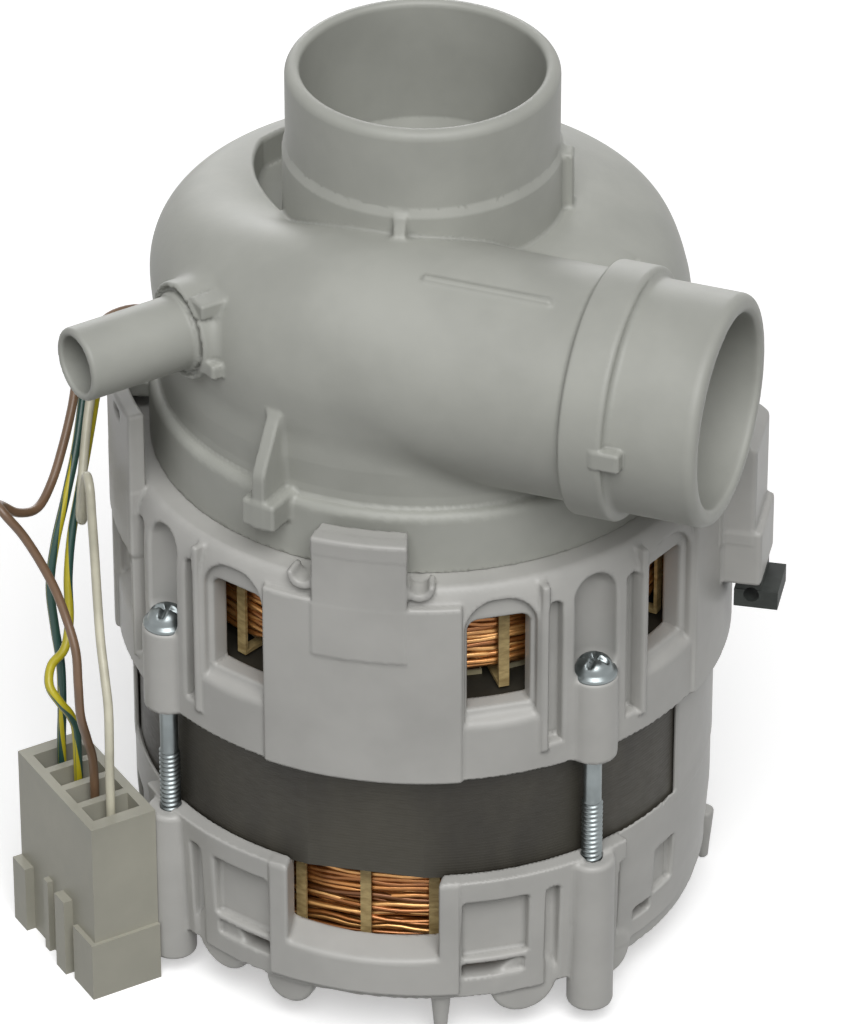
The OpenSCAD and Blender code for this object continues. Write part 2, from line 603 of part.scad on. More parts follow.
module at_plug() translate([plug_x, plug_y, 0]) rotate([0, 0, plug_turn]) children();

module each_way() for (i = [0:3]) translate([0, (1.5 - i) * plug_pitch, 0]) children();

module centred_box(x, y, z0, z1) translate([-x / 2, -y / 2, z0]) cube([x, y, z1 - z0]);

module plug_housing() color([0.62, 0.61, 0.55]) at_plug() difference() {
    union() {
        centred_box(plug_w, plug_l, 0, plug_h);
        translate([-plug_w / 2 - 1.5, 8, 0]) cube([3, 4, 11.5]);
        translate([-plug_w / 2 - 0.9, 1.6, 0]) cube([2, 1.4, 13]);
        translate([-plug_w / 2 - 1.5, -4.8, 0]) cube([3, 3, 13.5]);
        translate([-plug_w / 2 - 0.8, -plug_l / 2 - 0.6, 0]) cube([plug_w + 0.8, 6.2, 10]);
    }
    each_way() {
        centred_box(7.8, 3.9, 12, plug_h + ahead);
        centred_box(3, 2, -ahead, 13);
    }
}

module plug_terminals() color([0.78, 0.66, 0.35]) at_plug() each_way() {
    centred_box(3, 2, 4, 12.5);
    centred_box(3.6, 2.6, 12, 14);
    up(14) cylinder(r = 1.15, h = 7);
}

module mounting_buffer() color([0.15, 0.17, 0.16]) toward(buffer_turn) difference() {
    union() {
        translate([48, -4, 58]) cube([6.6, 8, 3]);
        translate([48.2, -3.8, 60]) cube([3.8, 7.6, 3]);
        translate([buffer_r, 0, 62]) cylinder(r = 1.7, h = 5);
    }
    translate([50.6, 5, 60.2]) rotate([90, 0, 0]) cylinder(r = 1.2, h = 10);
}

pump_housing();
housing_seal_ring();
back_plate();
impeller();
impeller_shroud();
impeller_insert();
seal_face();
seal_bellows();
seal_spring();
seal_seat();
seal_seat_cup();
shaft_slinger();
upper_bracket();
upper_bearing();
upper_bearing_clip();
upper_felt_ring();
stator_core();
slot_liners();
slot_windings();
upper_winding();
lower_winding();
upper_lacing();
lower_lacing();
rotor_core();
rotor_cage();
rotor_shaft();
rotor_spacers();
thrust_washers();
lower_bearing();
lower_bearing_clip();
lower_felt_ring();
lower_bracket();
motor_screws();
lead_grommet();
lead_earth_1();
lead_earth_2();
lead_line();
lead_neutral();
plug_housing();
plug_terminals();
mounting_buffer();
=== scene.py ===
import math
import random

import bpy
import numpy as np
import openvdb
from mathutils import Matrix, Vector


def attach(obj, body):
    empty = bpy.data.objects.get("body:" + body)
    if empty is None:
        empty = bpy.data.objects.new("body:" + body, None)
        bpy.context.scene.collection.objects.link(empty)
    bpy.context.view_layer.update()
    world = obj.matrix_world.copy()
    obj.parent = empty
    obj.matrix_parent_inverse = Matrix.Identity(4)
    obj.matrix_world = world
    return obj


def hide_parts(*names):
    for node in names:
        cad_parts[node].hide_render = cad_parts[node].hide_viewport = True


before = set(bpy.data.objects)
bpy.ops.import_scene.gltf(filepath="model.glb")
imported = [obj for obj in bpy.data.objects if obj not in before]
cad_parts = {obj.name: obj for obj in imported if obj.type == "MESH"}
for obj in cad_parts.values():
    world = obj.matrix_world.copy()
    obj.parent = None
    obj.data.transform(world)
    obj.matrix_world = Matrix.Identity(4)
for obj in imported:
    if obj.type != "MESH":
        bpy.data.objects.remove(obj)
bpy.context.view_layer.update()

MM = 0.001

# Compass angles in degrees, 0 at -Y and 90 at +X, and sizes in mm, as in the part's source
MOTOR_TURN = 8.5
SPIGOT_TURN, SPIGOT_Z = -38, 111.5
GUSSET_TURN = -12
WALL_TURN, BUFFER_TURN, GROMMET_TURN = -59.5, 98.5, -94
SCREW_R, BUFFER_R = 45.3, 49.8
OUTLET_Y, OUTLET_Z, OUTLET_R, OUTLET_END = -23.43, 109.9, 17, 55
DECK_Z, LEDGE_Z, COLLAR_Z, RIM_Z = 82, 92, 130.2, 143.3
STATOR_LOW, STATOR_HIGH = 29.5, 59.5


# Camera

PHOTO_HIGH = 1024
FOCAL_PIXELS = 7338.5
SENSOR_MM = 36
CLIP_NEAR, CLIP_FAR = 0.01, 10


def outward(turn, rise):
    """The direction towards a compass angle and a height, both in degrees."""
    a, e = math.radians(turn), math.radians(rise)
    return Vector((math.sin(a) * math.cos(e), -math.cos(a) * math.cos(e), math.sin(e)))


def aim(made, back):
    """Turns a camera or a lamp away from the direction back."""
    made.rotation_mode = "QUATERNION"
    made.rotation_quaternion = (-back).to_track_quat("-Z", "Y")


def look_from(turn, rise, distance, target):
    back = outward(turn, rise)
    camera = bpy.data.objects.new("camera", bpy.data.cameras.new("camera"))
    bpy.context.scene.collection.objects.link(camera)
    camera.location = Vector(target) + back * distance
    aim(camera, back)
    camera.data.sensor_width = SENSOR_MM
    camera.data.lens = SENSOR_MM * FOCAL_PIXELS / PHOTO_HIGH
    camera.data.clip_start, camera.data.clip_end = CLIP_NEAR, CLIP_FAR
    bpy.context.scene.camera = camera


look_from(turn=20, rise=33.6, distance=1.1, target=(0.00105, 0.00038, 0.0657))


# Shader maths

class Signal:
    """An output of a material's node tree, which Python's operators build on."""

    def __init__(self, finish, socket):
        self.finish, self.socket = finish, socket

    def maths(self, operation, *values):
        return self.finish.node("ShaderNodeMath", {"operation": operation}, dict(enumerate(values)))

    def __add__(self, other):
        return self.maths("ADD", self, other)

    def __mul__(self, other):
        return self.maths("MULTIPLY", self, other)

    def wave(self):
        return self.maths("SINE", self)

    def part(self):
        return self.maths("FRACT", self)

    def above(self, level):
        return self.maths("GREATER_THAN", self, level)

    def between(self, low, high):
        """0 below low, 1 above high, and a smooth rise between them."""
        return self.finish.node("ShaderNodeMapRange", {"interpolation_type": "SMOOTHSTEP"},
            {"Value": self, "From Min": low, "From Max": high})


class Nodes:
    """A node tree, and what builds it."""

    def __init__(self, tree):
        self.tree = tree

    def node(self, kind, settings=None, inputs=None, output=0):
        made = self.tree.nodes.new(kind)
        for key, value in (settings or {}).items():
            if key == "stops":
                self.set_stops(made.color_ramp, value)
            else:
                setattr(made, key, value)
        for key, value in (inputs or {}).items():
            if isinstance(value, Signal):
                self.tree.links.new(value.socket, made.inputs[key])
            else:
                made.inputs[key].default_value = value
        return Signal(self, made.outputs[output])

    @staticmethod
    def set_stops(ramp, stops):
        while len(ramp.elements) < len(stops):
            ramp.elements.new(1)
        for element, (place, colour) in zip(ramp.elements, stops):
            element.position = place
            element.color = (*colour, 1)

    def seen(self):
        """1 for what the camera, a reflection or a clear piece sees, 0 for light on the pieces."""
        outputs = self.node("ShaderNodeLightPath").socket.node.outputs
        kinds = ("Is Camera Ray", "Is Glossy Ray", "Is Transmission Ray")
        camera, glossy, transmission = [Signal(self, outputs[kind]) for kind in kinds]
        return (camera + glossy + transmission).above(0.5)


NOISE_ROUGHNESS = 0.55
MIX_AMOUNT, MIX_FIRST, MIX_SECOND, MIX_RESULT = 0, 6, 7, 2


class Finish(Nodes):
    """A material and the nodes that make it."""

    def __init__(self, name, roughness, metallic=0.0, **fixed):
        self.material = bpy.data.materials.new(name)
        self.material.use_nodes = True
        super().__init__(self.material.node_tree)
        self.shader = self.tree.nodes["Principled BSDF"]
        self.shader.inputs["Roughness"].default_value = roughness
        self.shader.inputs["Metallic"].default_value = metallic
        for socket, value in fixed.items():
            self.shader.inputs[socket.replace("_", " ")].default_value = value

    def feed(self, socket, signal):
        self.tree.links.new(signal.socket, self.shader.inputs[socket])

    def place(self):
        """Where a point of the surface lies, in metres."""
        return self.node("ShaderNodeTexCoord", output="Object")

    def height(self):
        return self.node("ShaderNodeSeparateXYZ", inputs={0: self.place()}, output="Z")

    def noise(self, scale, detail=3, stretch=None):
        where = self.place()
        if stretch:
            where = self.node("ShaderNodeVectorMath", {"operation": "MULTIPLY"}, {0: where, 1: stretch})
        return self.node("ShaderNodeTexNoise",
            inputs={"Vector": where, "Scale": scale, "Detail": detail, "Roughness": NOISE_ROUGHNESS})

    def attribute(self, name):
        return self.node("ShaderNodeAttribute", {"attribute_name": name}, output="Fac")

    def ramp(self, signal, *stops):
        return self.node("ShaderNodeValToRGB", {"stops": stops}, {0: signal})

    def mix(self, amount, first, second):
        return self.node("ShaderNodeMix", {"data_type": "RGBA"},
            {MIX_AMOUNT: amount, MIX_FIRST: colour(first), MIX_SECOND: colour(second)}, MIX_RESULT)

    def bump(self, height, distance, strength=1.0, under=None):
        inputs = {"Height": height, "Distance": distance, "Strength": strength}
        if under:
            inputs["Normal"] = under
        return self.node("ShaderNodeBump", inputs=inputs)

    def give(self, *pieces):
        for piece in pieces:
            piece.data.materials.clear()
            piece.data.materials.append(self.material)


def colour(value):
    return value if isinstance(value, Signal) else (*value, 1)


def from_eye(red, green, blue):
    """A colour as a screen shows it, 0 to 255, to the light it stands for."""
    def light(c):
        c = c / 255
        return c / 12.92 if c < 0.04045 else ((c + 0.055) / 1.055) ** 2.4
    return light(red), light(green), light(blue)


def times(base, share):
    return tuple(min(share * c, 1) for c in base)


# Finishes, with noise scales per metre and depths in metres

PLASTIC_GRAIN = 0.00002
SHEET = 0.0005
STRIPES_PER_METRE = 28


# Moulded plastic with a random mottle. Unless turned off, painted shade darkens its concave corners and
# creases.
def moulded_plastic(name, base, roughness, painted_corner_shade=True):
    f = Finish(name, roughness, Coat_Roughness=0.35)
    broad = f.noise(55, 4)
    fine = f.noise(900, 2)
    skin = f.mix(broad.between(0.25, 0.75), times(base, 0.88), times(base, 1.07))
    if painted_corner_shade:
        # Painted shade: concave corners and creases, found by pointiness, darken to 0.68 of the base colour.
        corner = f.node("ShaderNodeNewGeometry", output="Pointiness")
        skin = f.mix(corner.between(0.42, 0.495), times(base, 0.68), skin)
    f.feed("Base Color", skin)
    f.feed("Roughness", broad * 0.12 + fine * 0.08 + (roughness - 0.1))
    f.feed("Normal", f.bump(f.noise(160, 2), PLASTIC_GRAIN * 4, 0.5, f.bump(fine, PLASTIC_GRAIN, 0.6)))
    return f


def bare_metal(name, base, roughness, grain=(1, 1, 1), scale=700, depth=0.000015):
    f = Finish(name, roughness, 1.0)
    marks = f.noise(scale, 4, grain)
    patches = f.noise(120, 3)
    f.feed("Base Color", f.mix(patches.between(0.3, 0.7), times(base, 0.72), base))
    f.feed("Roughness", marks * 0.25 + (roughness - 0.12))
    f.feed("Normal", f.bump(marks, depth, 0.8))
    return f


def laminated_steel():
    f = Finish("lamination_steel", 0.55, 0.1)
    sheets = (f.height() * (2 * math.pi / SHEET)).wave()
    broad = f.noise(70, 4, (1, 1, 0.35))
    fine = f.noise(500, 3, (1, 1, 4))
    base = f.mix(broad.between(0.3, 0.72), from_eye(38, 35, 29), from_eye(66, 63, 54))
    f.feed("Base Color", f.mix(sheets.between(0.2, 1) * 0.2, base, from_eye(36, 33, 27)))
    f.feed("Roughness", fine * 0.3 + 0.42)
    f.feed("Normal", f.bump(sheets, 0.00002, 0.35, f.bump(fine, 0.00003, 0.5)))
    return f


def enamelled_copper():
    f = Finish("enamelled_copper", 0.3, 0.75, Coat_Weight=0.5, Coat_Roughness=0.2)
    strand = f.attribute("strand")
    shade = f.noise(260, 3)
    # The ramp's dark low end also colours the winding core, as painted shade between the wires.
    tint = f.ramp(strand, (0, from_eye(70, 42, 24)), (0.1, from_eye(150, 94, 44)),
        (0.5, from_eye(190, 130, 70)), (1, from_eye(224, 172, 106)))
    f.feed("Base Color", f.mix(shade.between(0.3, 0.6) * 0.5 + 0.5, from_eye(120, 70, 32), tint))
    f.feed("Roughness", shade * 0.25 + 0.2)
    f.feed("Normal", f.bump(shade, 0.00003, 0.5))
    return f


def soft_matter(name, base, other, roughness, scale, depth, stretch=None):
    f = Finish(name, roughness)
    weave = f.noise(scale, 5, stretch)
    f.feed("Base Color", f.mix(weave.between(0.3, 0.7), base, other))
    f.feed("Roughness", weave * 0.2 + (roughness - 0.1))
    f.feed("Normal", f.bump(weave, depth, 0.9))
    return f


def lead_skin(name, base, stripe=None, share=0.0):
    """Insulation, with a stripe that winds round it and takes a share of its face."""
    f = Finish(name, 0.38, Coat_Weight=0.15, Coat_Roughness=0.3)
    soil = f.noise(220, 3)
    tone = f.mix(soil.between(0.3, 0.75), times(base, 0.8), base)
    if stripe:
        round_it, along = f.attribute("round_it"), f.attribute("along")
        band = (round_it + along * STRIPES_PER_METRE).part().above(1 - share)
        tone = f.mix(band, tone, stripe)
    f.feed("Base Color", tone)
    f.feed("Roughness", soil * 0.2 + 0.28)
    f.feed("Normal", f.bump(soil, 0.00003, 0.5))
    return f


grey_housing = moulded_plastic("grey_housing", from_eye(172, 173, 166), 0.5)
white_bracket = moulded_plastic("white_bracket", from_eye(186, 185, 181), 0.46)
# The plug and the impeller get no painted corner shade.
plug_plastic = moulded_plastic("plug_plastic", from_eye(170, 168, 155), 0.5, painted_corner_shade=False)
impeller_plastic = moulded_plastic("impeller_plastic", from_eye(196, 195, 188), 0.45,
    painted_corner_shade=False)
lamination_steel = laminated_steel()
copper = enamelled_copper()
zinc_steel = bare_metal("zinc_steel", from_eye(142, 149, 150), 0.34, scale=500)
ground_steel = bare_metal("ground_steel", from_eye(200, 201, 204), 0.25, (1, 1, 6))
spring_steel = bare_metal("spring_steel", from_eye(190, 191, 194), 0.32)
cast_aluminium = bare_metal("cast_aluminium", from_eye(196, 197, 200), 0.45, scale=400, depth=0.00004)
brass = bare_metal("brass", from_eye(206, 178, 108), 0.34)
bronze = bare_metal("sintered_bronze", from_eye(150, 118, 74), 0.55, scale=900, depth=0.00005)
black_rubber = soft_matter("black_rubber", from_eye(40, 43, 41), from_eye(62, 66, 63), 0.72, 240, 0.0001)
carbon = soft_matter("carbon", from_eye(48, 48, 50), from_eye(66, 66, 68), 0.35, 400, 0.00002)
ceramic = soft_matter("ceramic_seat", from_eye(226, 222, 210), from_eye(236, 233, 224), 0.25, 300, 0.00001)
felt = soft_matter("felt", from_eye(176, 168, 146), from_eye(206, 198, 178), 0.9, 900, 0.0002)
slot_paper = soft_matter("slot_paper", from_eye(200, 190, 150), from_eye(222, 214, 182), 0.65, 300, 0.00004)
lacing = soft_matter("lacing_cord", from_eye(150, 128, 84), from_eye(190, 168, 118), 0.6, 500, 0.0001,
    (1, 1, 3))
fibre = soft_matter("fibre_washer", from_eye(96, 66, 44), from_eye(120, 86, 58), 0.7, 500, 0.00005)
GREEN, YELLOW = from_eye(46, 82, 74), from_eye(204, 190, 40)
lead_finishes = {
    "lead_earth_1": lead_skin("lead_green_yellow_1", GREEN, YELLOW, 0.16),
    "lead_earth_2": lead_skin("lead_green_yellow_2", YELLOW, GREEN, 0.3),
    "lead_line": lead_skin("lead_brown", from_eye(128, 100, 76)),
    "lead_neutral": lead_skin("lead_cream", from_eye(222, 218, 196)),
}


# Pieces

def piece(name, points, faces, finish, slot, node):
    """A mesh piece from points in metres, which stands in for a node of the part."""
    mesh = bpy.data.meshes.new(name)
    mesh.from_pydata([tuple(p) for p in points], [], [tuple(f) for f in faces])
    mesh.update()
    mesh.shade_smooth()
    made = bpy.data.objects.new(name, mesh)
    bpy.context.scene.collection.objects.link(made)
    finish.give(made)
    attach(made, "root")
    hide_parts(node)
    return made


def add_attribute(made, name, values):
    made.data.attributes.new(name, "FLOAT", "POINT").data.foreach_set("value", values)


# Leads, from the grommet to the plug, in mm

ROUTES = {
    "lead_earth_1": [(-44, 4, 82.6), (-44, 4, 84.8), (-45, 4, 86.3), (-47.4, 3.2, 87.4),
        (-50.2, 0.6, 87.1), (-51.4, -3.6, 85.5), (-50.9, -8, 83), (-50.1, -11.8, 79.8), (-49.4, -16, 75.6),
        (-49.3, -20.4, 70.2), (-49.6, -24.4, 64), (-49.6, -26.8, 58), (-48.4, -28.4, 52), (-47, -29.8, 46),
        (-46.5, -31, 39), (-46.6, -31.4, 33), (-46.6, -31.4, 21)],
    "lead_earth_2": [(-44, 2, 82.6), (-44, 2, 84.3), (-45, 2, 85.6), (-47.2, 1.5, 85.8), (-49, -1, 85.2),
        (-49.5, -4.6, 83.6), (-49, -8.4, 81.2), (-48.5, -11.8, 78.1), (-48.2, -15.2, 74),
        (-47.9, -19, 69.6), (-47.8, -22.4, 64.4), (-47.2, -25.5, 58.8), (-46, -28.3, 53.6),
        (-45.6, -31.4, 50.4), (-46.6, -34.2, 49), (-46, -36.6, 47), (-44.2, -37, 44.6), (-43, -35.8, 41.6),
        (-42.6, -34.8, 37), (-42.6, -34.7, 21)],
    "lead_line": [(-42, 4, 82.6), (-42, 4, 85.2), (-43.2, 4.4, 87.6), (-46.8, 4, 89.3), (-50.6, 1, 88.8),
        (-52, -4.2, 86.9), (-51.7, -9, 84.2), (-51, -13.2, 81), (-50.8, -17.4, 77), (-51, -21.6, 73),
        (-51.5, -26, 71), (-52.8, -30.2, 72.4), (-54, -33.4, 75.4), (-53.6, -35.8, 77),
        (-51.9, -36.6, 75.9), (-49.7, -36, 72.8), (-47.4, -35.4, 68.4), (-45, -35.6, 64),
        (-42.8, -36.8, 60), (-40.6, -38.8, 56), (-39.6, -40.6, 51.4), (-39.2, -41, 46), (-38.9, -39.6, 41),
        (-38.6, -38.1, 35), (-38.6, -38.1, 21)],
    "lead_neutral": [(-42, 2, 82.6), (-42, 2, 85), (-43.2, 2, 87), (-46.4, 1.8, 87.7), (-48.8, -0.8, 87.3),
        (-49.5, -5.2, 85.4), (-49.1, -9.6, 82.9), (-48.5, -13.2, 79.6), (-47.8, -16.6, 75.5),
        (-47.1, -19.6, 71.4), (-46.4, -22, 68.4), (-45.2, -24, 69), (-44.6, -25.2, 72.4),
        (-44, -25.8, 76.4), (-43, -27, 79.2), (-41.8, -28.8, 78.2), (-41.2, -29.8, 74.2),
        (-40.6, -30.6, 68), (-39.6, -32.4, 61.6), (-38.2, -35, 56.2), (-36.6, -37.6, 52),
        (-35.2, -39.8, 47.6), (-34.6, -41.2, 42.6), (-34.6, -41.4, 37), (-34.6, -41.4, 21)],
}
LEAD_D = 1.4
LEAD_SIDES = 16
STEPS_PER_POINT = 5


def smooth_path(points, steps):
    """A path through the points, rounded between them."""
    p = [Vector(q) for q in points]
    p = [2 * p[0] - p[1], *p, 2 * p[-1] - p[-2]]
    out = []
    for i in range(1, len(p) - 2):
        for k in range(steps):
            t = k / steps
            a, b, c, d = p[i - 1:i + 3]
            out.append(0.5 * (2 * b + (c - a) * t + (2 * a - 5 * b + 4 * c - d) * t * t
                + (3 * b - a - 3 * c + d) * t ** 3))
    out.append(p[-2])
    return out


def swept(path, radius, sides, closed=False):
    """Points, faces, and each point's place round and along a tube that follows a path."""
    n = len(path)
    points, faces, round_it, along = [], [], [], []
    normal, gone = None, 0.0
    for i, here in enumerate(path):
        after = path[(i + 1) % n] if closed else path[min(i + 1, n - 1)]
        before = path[i - 1] if closed else path[max(i - 1, 0)]
        ahead = (after - before).normalized()
        if normal is None:
            normal = ahead.orthogonal()
        normal = (normal - ahead * normal.dot(ahead)).normalized()
        side = ahead.cross(normal)
        if i:
            gone += (here - path[i - 1]).length
        for j in range(sides):
            t = 2 * math.pi * j / sides
            points.append(here + radius * (math.cos(t) * normal + math.sin(t) * side))
            round_it.append(j / sides)
            along.append(gone)
    for i in range(n if closed else n - 1):
        a, b = i * sides, (i + 1) % n * sides
        faces += [(a + j, a + (j + 1) % sides, b + (j + 1) % sides, b + j) for j in range(sides)]
    if not closed:
        faces += [tuple(range(sides - 1, -1, -1)), tuple((n - 1) * sides + j for j in range(sides))]
    return points, faces, round_it, along


def path_length(path):
    return sum((b - a).length for a, b in zip(path, path[1:]))


def make_lead(name, slot):
    path = [MM * p for p in smooth_path(ROUTES[name], STEPS_PER_POINT)]
    points, faces, round_it, along = swept(path, MM * LEAD_D / 2, LEAD_SIDES)
    made = piece(name + "_skin", points, faces, lead_finishes[name], slot, name)
    add_attribute(made, "round_it", round_it)
    add_attribute(made, "along", along)
    path_length(path)


make_lead("lead_earth_1", "lead_green_yellow")
make_lead("lead_earth_2", "lead_green_yellow")
make_lead("lead_line", "lead_brown")
make_lead("lead_neutral", "lead_cream")


# Solids by distance: each function gives how far a point lies outside a solid, in mm. The last
# number of join, common and cut is how wide they blend, and edge is how round a solid's edges are.

FAR = 9.0


def join(a, b, soft=0.0):
    if not soft:
        return np.minimum(a, b)
    near = np.maximum(soft - np.abs(a - b), 0) / soft
    return np.minimum(a, b) - near * near * soft / 4


def common(a, b, soft=0.0):
    return -join(-a, -b, soft)


def cut(a, b, soft=0.0):
    return -join(-a, b, soft)


def block(u, v, w, low, high, edge=0.3):
    sides = [abs(c - (l + h) / 2) - ((h - l) / 2 - edge) for c, l, h in zip((u, v, w), low, high)]
    most = np.maximum(np.maximum(sides[0], sides[1]), sides[2])
    out = sum(np.maximum(s, 0) ** 2 for s in sides) ** 0.5
    return out + np.minimum(most, 0) - edge


def crossed(side, end, edge):
    """What lies within both a side's and an end's distance, with a rounded edge."""
    out = np.hypot(np.maximum(side, 0), np.maximum(end, 0))
    return out + np.minimum(np.maximum(side, end), 0) - edge


def rod(u, v, w, radius, low, high, edge=0.3):
    """A round rod along w."""
    end = abs(w - (low + high) / 2) - ((high - low) / 2 - edge)
    return crossed(np.hypot(u, v) - (radius - edge), end, edge)


def ring_band(r, z, inner, outer, low, high, edge=0.3):
    """A ring about the shaft."""
    side = abs(r - (inner + outer) / 2) - ((outer - inner) / 2 - edge)
    return crossed(side, abs(z - (low + high) / 2) - ((high - low) / 2 - edge), edge)


def slant(u, w, at, normal):
    """How far a point lies past a slanted plane through at."""
    return (u - at[0]) * normal[0] + (w - at[1]) * normal[1]


def toward(x, y, angle):
    """A point's distances along a compass angle and across it."""
    a = math.radians(angle)
    return x * math.sin(a) - y * math.cos(a), x * math.cos(a) + y * math.sin(a)


def compass(x, y):
    return np.degrees(np.arctan2(x, -y))


def arc(cx, cy, rx, ry, start, end, steps):
    turns = [math.radians(start + (end - start) * i / steps) for i in range(steps + 1)]
    return [(cx + rx * math.cos(t), cy + ry * math.sin(t)) for t in turns]


PROFILE_PITCH, PROFILE_REACH = 0.15, 8


def turned(profile):
    """The solid that a profile of (radius, height) points makes when turned about the shaft."""
    points = np.array(profile, float)
    low, high = points.min(0) - PROFILE_REACH, points.max(0) + PROFILE_REACH
    r = np.arange(low[0], high[0], PROFILE_PITCH)[:, None]
    z = np.arange(low[1], high[1], PROFILE_PITCH)[None, :]
    away = np.full((r.shape[0], z.shape[1]), 1e9)
    inside = np.zeros(away.shape, bool)
    for (r1, z1), (r2, z2) in zip(points, np.roll(points, -1, 0)):
        dr, dz = r2 - r1, z2 - z1
        t = np.clip(((r - r1) * dr + (z - z1) * dz) / max(dr * dr + dz * dz, 1e-12), 0, 1)
        away = np.minimum(away, np.hypot(r - r1 - t * dr, z - z1 - t * dz))
        if dz:
            inside ^= ((z1 > z) != (z2 > z)) & (r < r1 + (z - z1) * dr / dz)
    table = np.where(inside, -away, away).astype(np.float32)
    last = [n - 1.001 for n in table.shape]

    def gap(r, z):
        i = np.clip((r - low[0]) / PROFILE_PITCH, 0, last[0])
        j = np.clip((z - low[1]) / PROFILE_PITCH, 0, last[1])
        i0, j0 = i.astype(np.int32), j.astype(np.int32)
        fi, fj = i - i0, j - j0
        lower = table[i0, j0] * (1 - fi) + table[i0 + 1, j0] * fi
        upper = table[i0, j0 + 1] * (1 - fi) + table[i0 + 1, j0 + 1] * fi
        return lower * (1 - fj) + upper * fj
    return gap


# Surfaces from distances. Lengths that are worked out from a grid are in its steps.

BLOCK = 4
BLOCK_REACH = 4.8
BAND = 3
CELLS_AT_ONCE = 8000
SLOPE_STEP = 0.04
LONGEST_MOVE = 0.4
LEAST_SLOPE = 0.25
AGREE_FROM, AGREE_OVER = 0.8, 0.15


def sampled(gap, low, high, pitch):
    """Distances on a grid: in full near the surface, and only as in or out away from it."""
    size = BLOCK * pitch
    axes = [np.arange(l + size / 2 - pitch / 2, h + size, size) for l, h in zip(low, high)]
    counts = [len(a) for a in axes]
    x, y, z = axes[0][:, None, None], axes[1][None, :, None], axes[2][None, None, :]
    middle = np.broadcast_to(gap(x, y, z), counts)
    field = np.where(middle > 0, BAND * pitch, -BAND * pitch).astype(np.float32)
    for axis in range(3):
        field = field.repeat(BLOCK, axis)
    near = np.argwhere(np.abs(middle) < BLOCK_REACH * pitch)
    step = np.arange(BLOCK)
    inner = np.stack(np.meshgrid(step, step, step, indexing="ij"), -1).reshape(-1, 3)
    for some in np.array_split(near, max(1, len(near) // CELLS_AT_ONCE)):
        cells = (some[:, None, :] * BLOCK + inner).reshape(-1, 3)
        here = (cells * pitch + np.array(low)).T
        field[tuple(cells.T)] = np.clip(gap(*here), -BAND * pitch, BAND * pitch)
    return field


def unit(vectors, least):
    return vectors / np.maximum(np.linalg.norm(vectors, axis=1), least)[:, None]


def surface_of(gap, low, high, pitch):
    """Points, faces and normals of the surface where the distance is nought."""
    grid = openvdb.FloatGrid(BAND * pitch)
    grid.copyFromArray(np.ascontiguousarray(sampled(gap, low, high, pitch)))
    points, quads = grid.convertToQuads()
    points = points.astype(np.float64) * pitch + np.array(low)
    for _ in range(2):
        away = gap(*points.T)
        nudges = np.eye(3) * SLOPE_STEP
        slope = np.stack([(gap(*(points + n).T) - away) / SLOPE_STEP for n in nudges], 1)
        steep = np.maximum((slope ** 2).sum(1), LEAST_SLOPE)
        step = slope * (away / steep)[:, None]
        length = np.maximum(np.linalg.norm(step, axis=1), 1e-9)
        points -= step * np.minimum(1, LONGEST_MOVE * pitch / length)[:, None]
    corners = points[quads]
    across = np.cross(corners[:, 2] - corners[:, 0], corners[:, 3] - corners[:, 1])
    if np.median((across * slope[quads[:, 0]]).sum(1)) < 0:
        quads, across = quads[:, ::-1], -across
    normals = np.zeros_like(points)
    for k in range(4):
        np.add.at(normals, quads[:, k], across)
    normals = unit(normals, 1e-12)
    slope = unit(slope, 1e-9)
    agree = np.clip(((normals * slope).sum(1) - AGREE_FROM) / AGREE_OVER, 0, 1)[:, None]
    return points, quads, unit(normals * (1 - agree) + slope * agree, 1e-12)


def moulded(name, gap, low, high, finish, slot, node):
    points, quads, normals = surface_of(gap, low, high, COARSE)
    made = piece(name, points * MM, quads.tolist(), finish, slot, node)
    made.data.normals_split_custom_set_from_vertices(normals.tolist())


# Pump housing. The profiles of full solids start past the shaft's axis, so that no face lies on it.

PAST_AXIS = -5
HOUSING_WALL = 2.3
HOUSING_DOME = turned([(PAST_AXIS, DECK_Z), (40.6, DECK_Z)]
    + arc(39.3, LEDGE_Z - 1.6, 1.3, 1.6, 0, 90, 6)
    + [(38.9, LEDGE_Z + 0.5), (38.9, LEDGE_Z + 2), (39.3, 98)]
    + arc(21, 104, 18.5, 17, 0, 90, 24) + [(PAST_AXIS, 121)])
HOUSING_COLLAR = turned([(PAST_AXIS, 112.4), (20.5, 112.4), (20.5, COLLAR_Z - 0.6), (20, COLLAR_Z + 0.6)]
    + arc(18.6, RIM_Z - 1.4, 1.4, 1.4, 0, 90, 8) + [(PAST_AXIS, RIM_Z)])
HOUSING_CHAMBER = turned([(PAST_AXIS, DECK_Z - 6), (38.3, DECK_Z - 6), (38.3, 88), (36, 88)]
    + arc(18, 103, 18, 15.6, 0, 90, 16) + [(PAST_AXIS, 118.6)])
HOUSING_NECK = turned([(PAST_AXIS, 106), (15.2, 106), (15.2, 112), (20.5, 124), (20.5, 127),
    (PAST_AXIS, 127)])
HOUSING_SUCTION = turned([(PAST_AXIS, 100), (13, 100), (13, 112), (17.8, 124), (17.8, RIM_Z + 6),
    (PAST_AXIS, RIM_Z + 6)])

# The spiral starts small and tucked in, and its outer wall stays near one circle
SPIRAL_FROM, SPIRAL_START_R = 120, 7.6
SPIRAL_WALL_R, SPIRAL_SWELL, SPIRAL_TUCK = 39.8, 0.63, 2.1
OUTLET_BORE_R, OUTLET_RING_R = 14.25, OUTLET_R + 1.55
SPIGOT_R, SPIGOT_END, SADDLE_R, SADDLE_END = 5.5, 58.6, 7.4, 41.6
SPIGOT_LUGS = (4.6, 6.1), (7.4, -2.6)
SIDE_RIB_TURN, FRONT_RIB_TURN = 105, 11

# The hollow in the shoulder, by its compass angle and half width, and the wall round it
WELL, WELL_WALL = (-104.5, 60.5), (-103.5, 68.5)
WELL_X, WELL_Y, WELL_R, WELL_WITHIN_R, WELL_FLOOR = 1.9, 13.7, 31.3, 31.2, 113.5

# How many mm a degree is along the rim, and where the wall is drawn in
RIM_DEGREE, SIDE_DEGREE = 0.8, 0.75


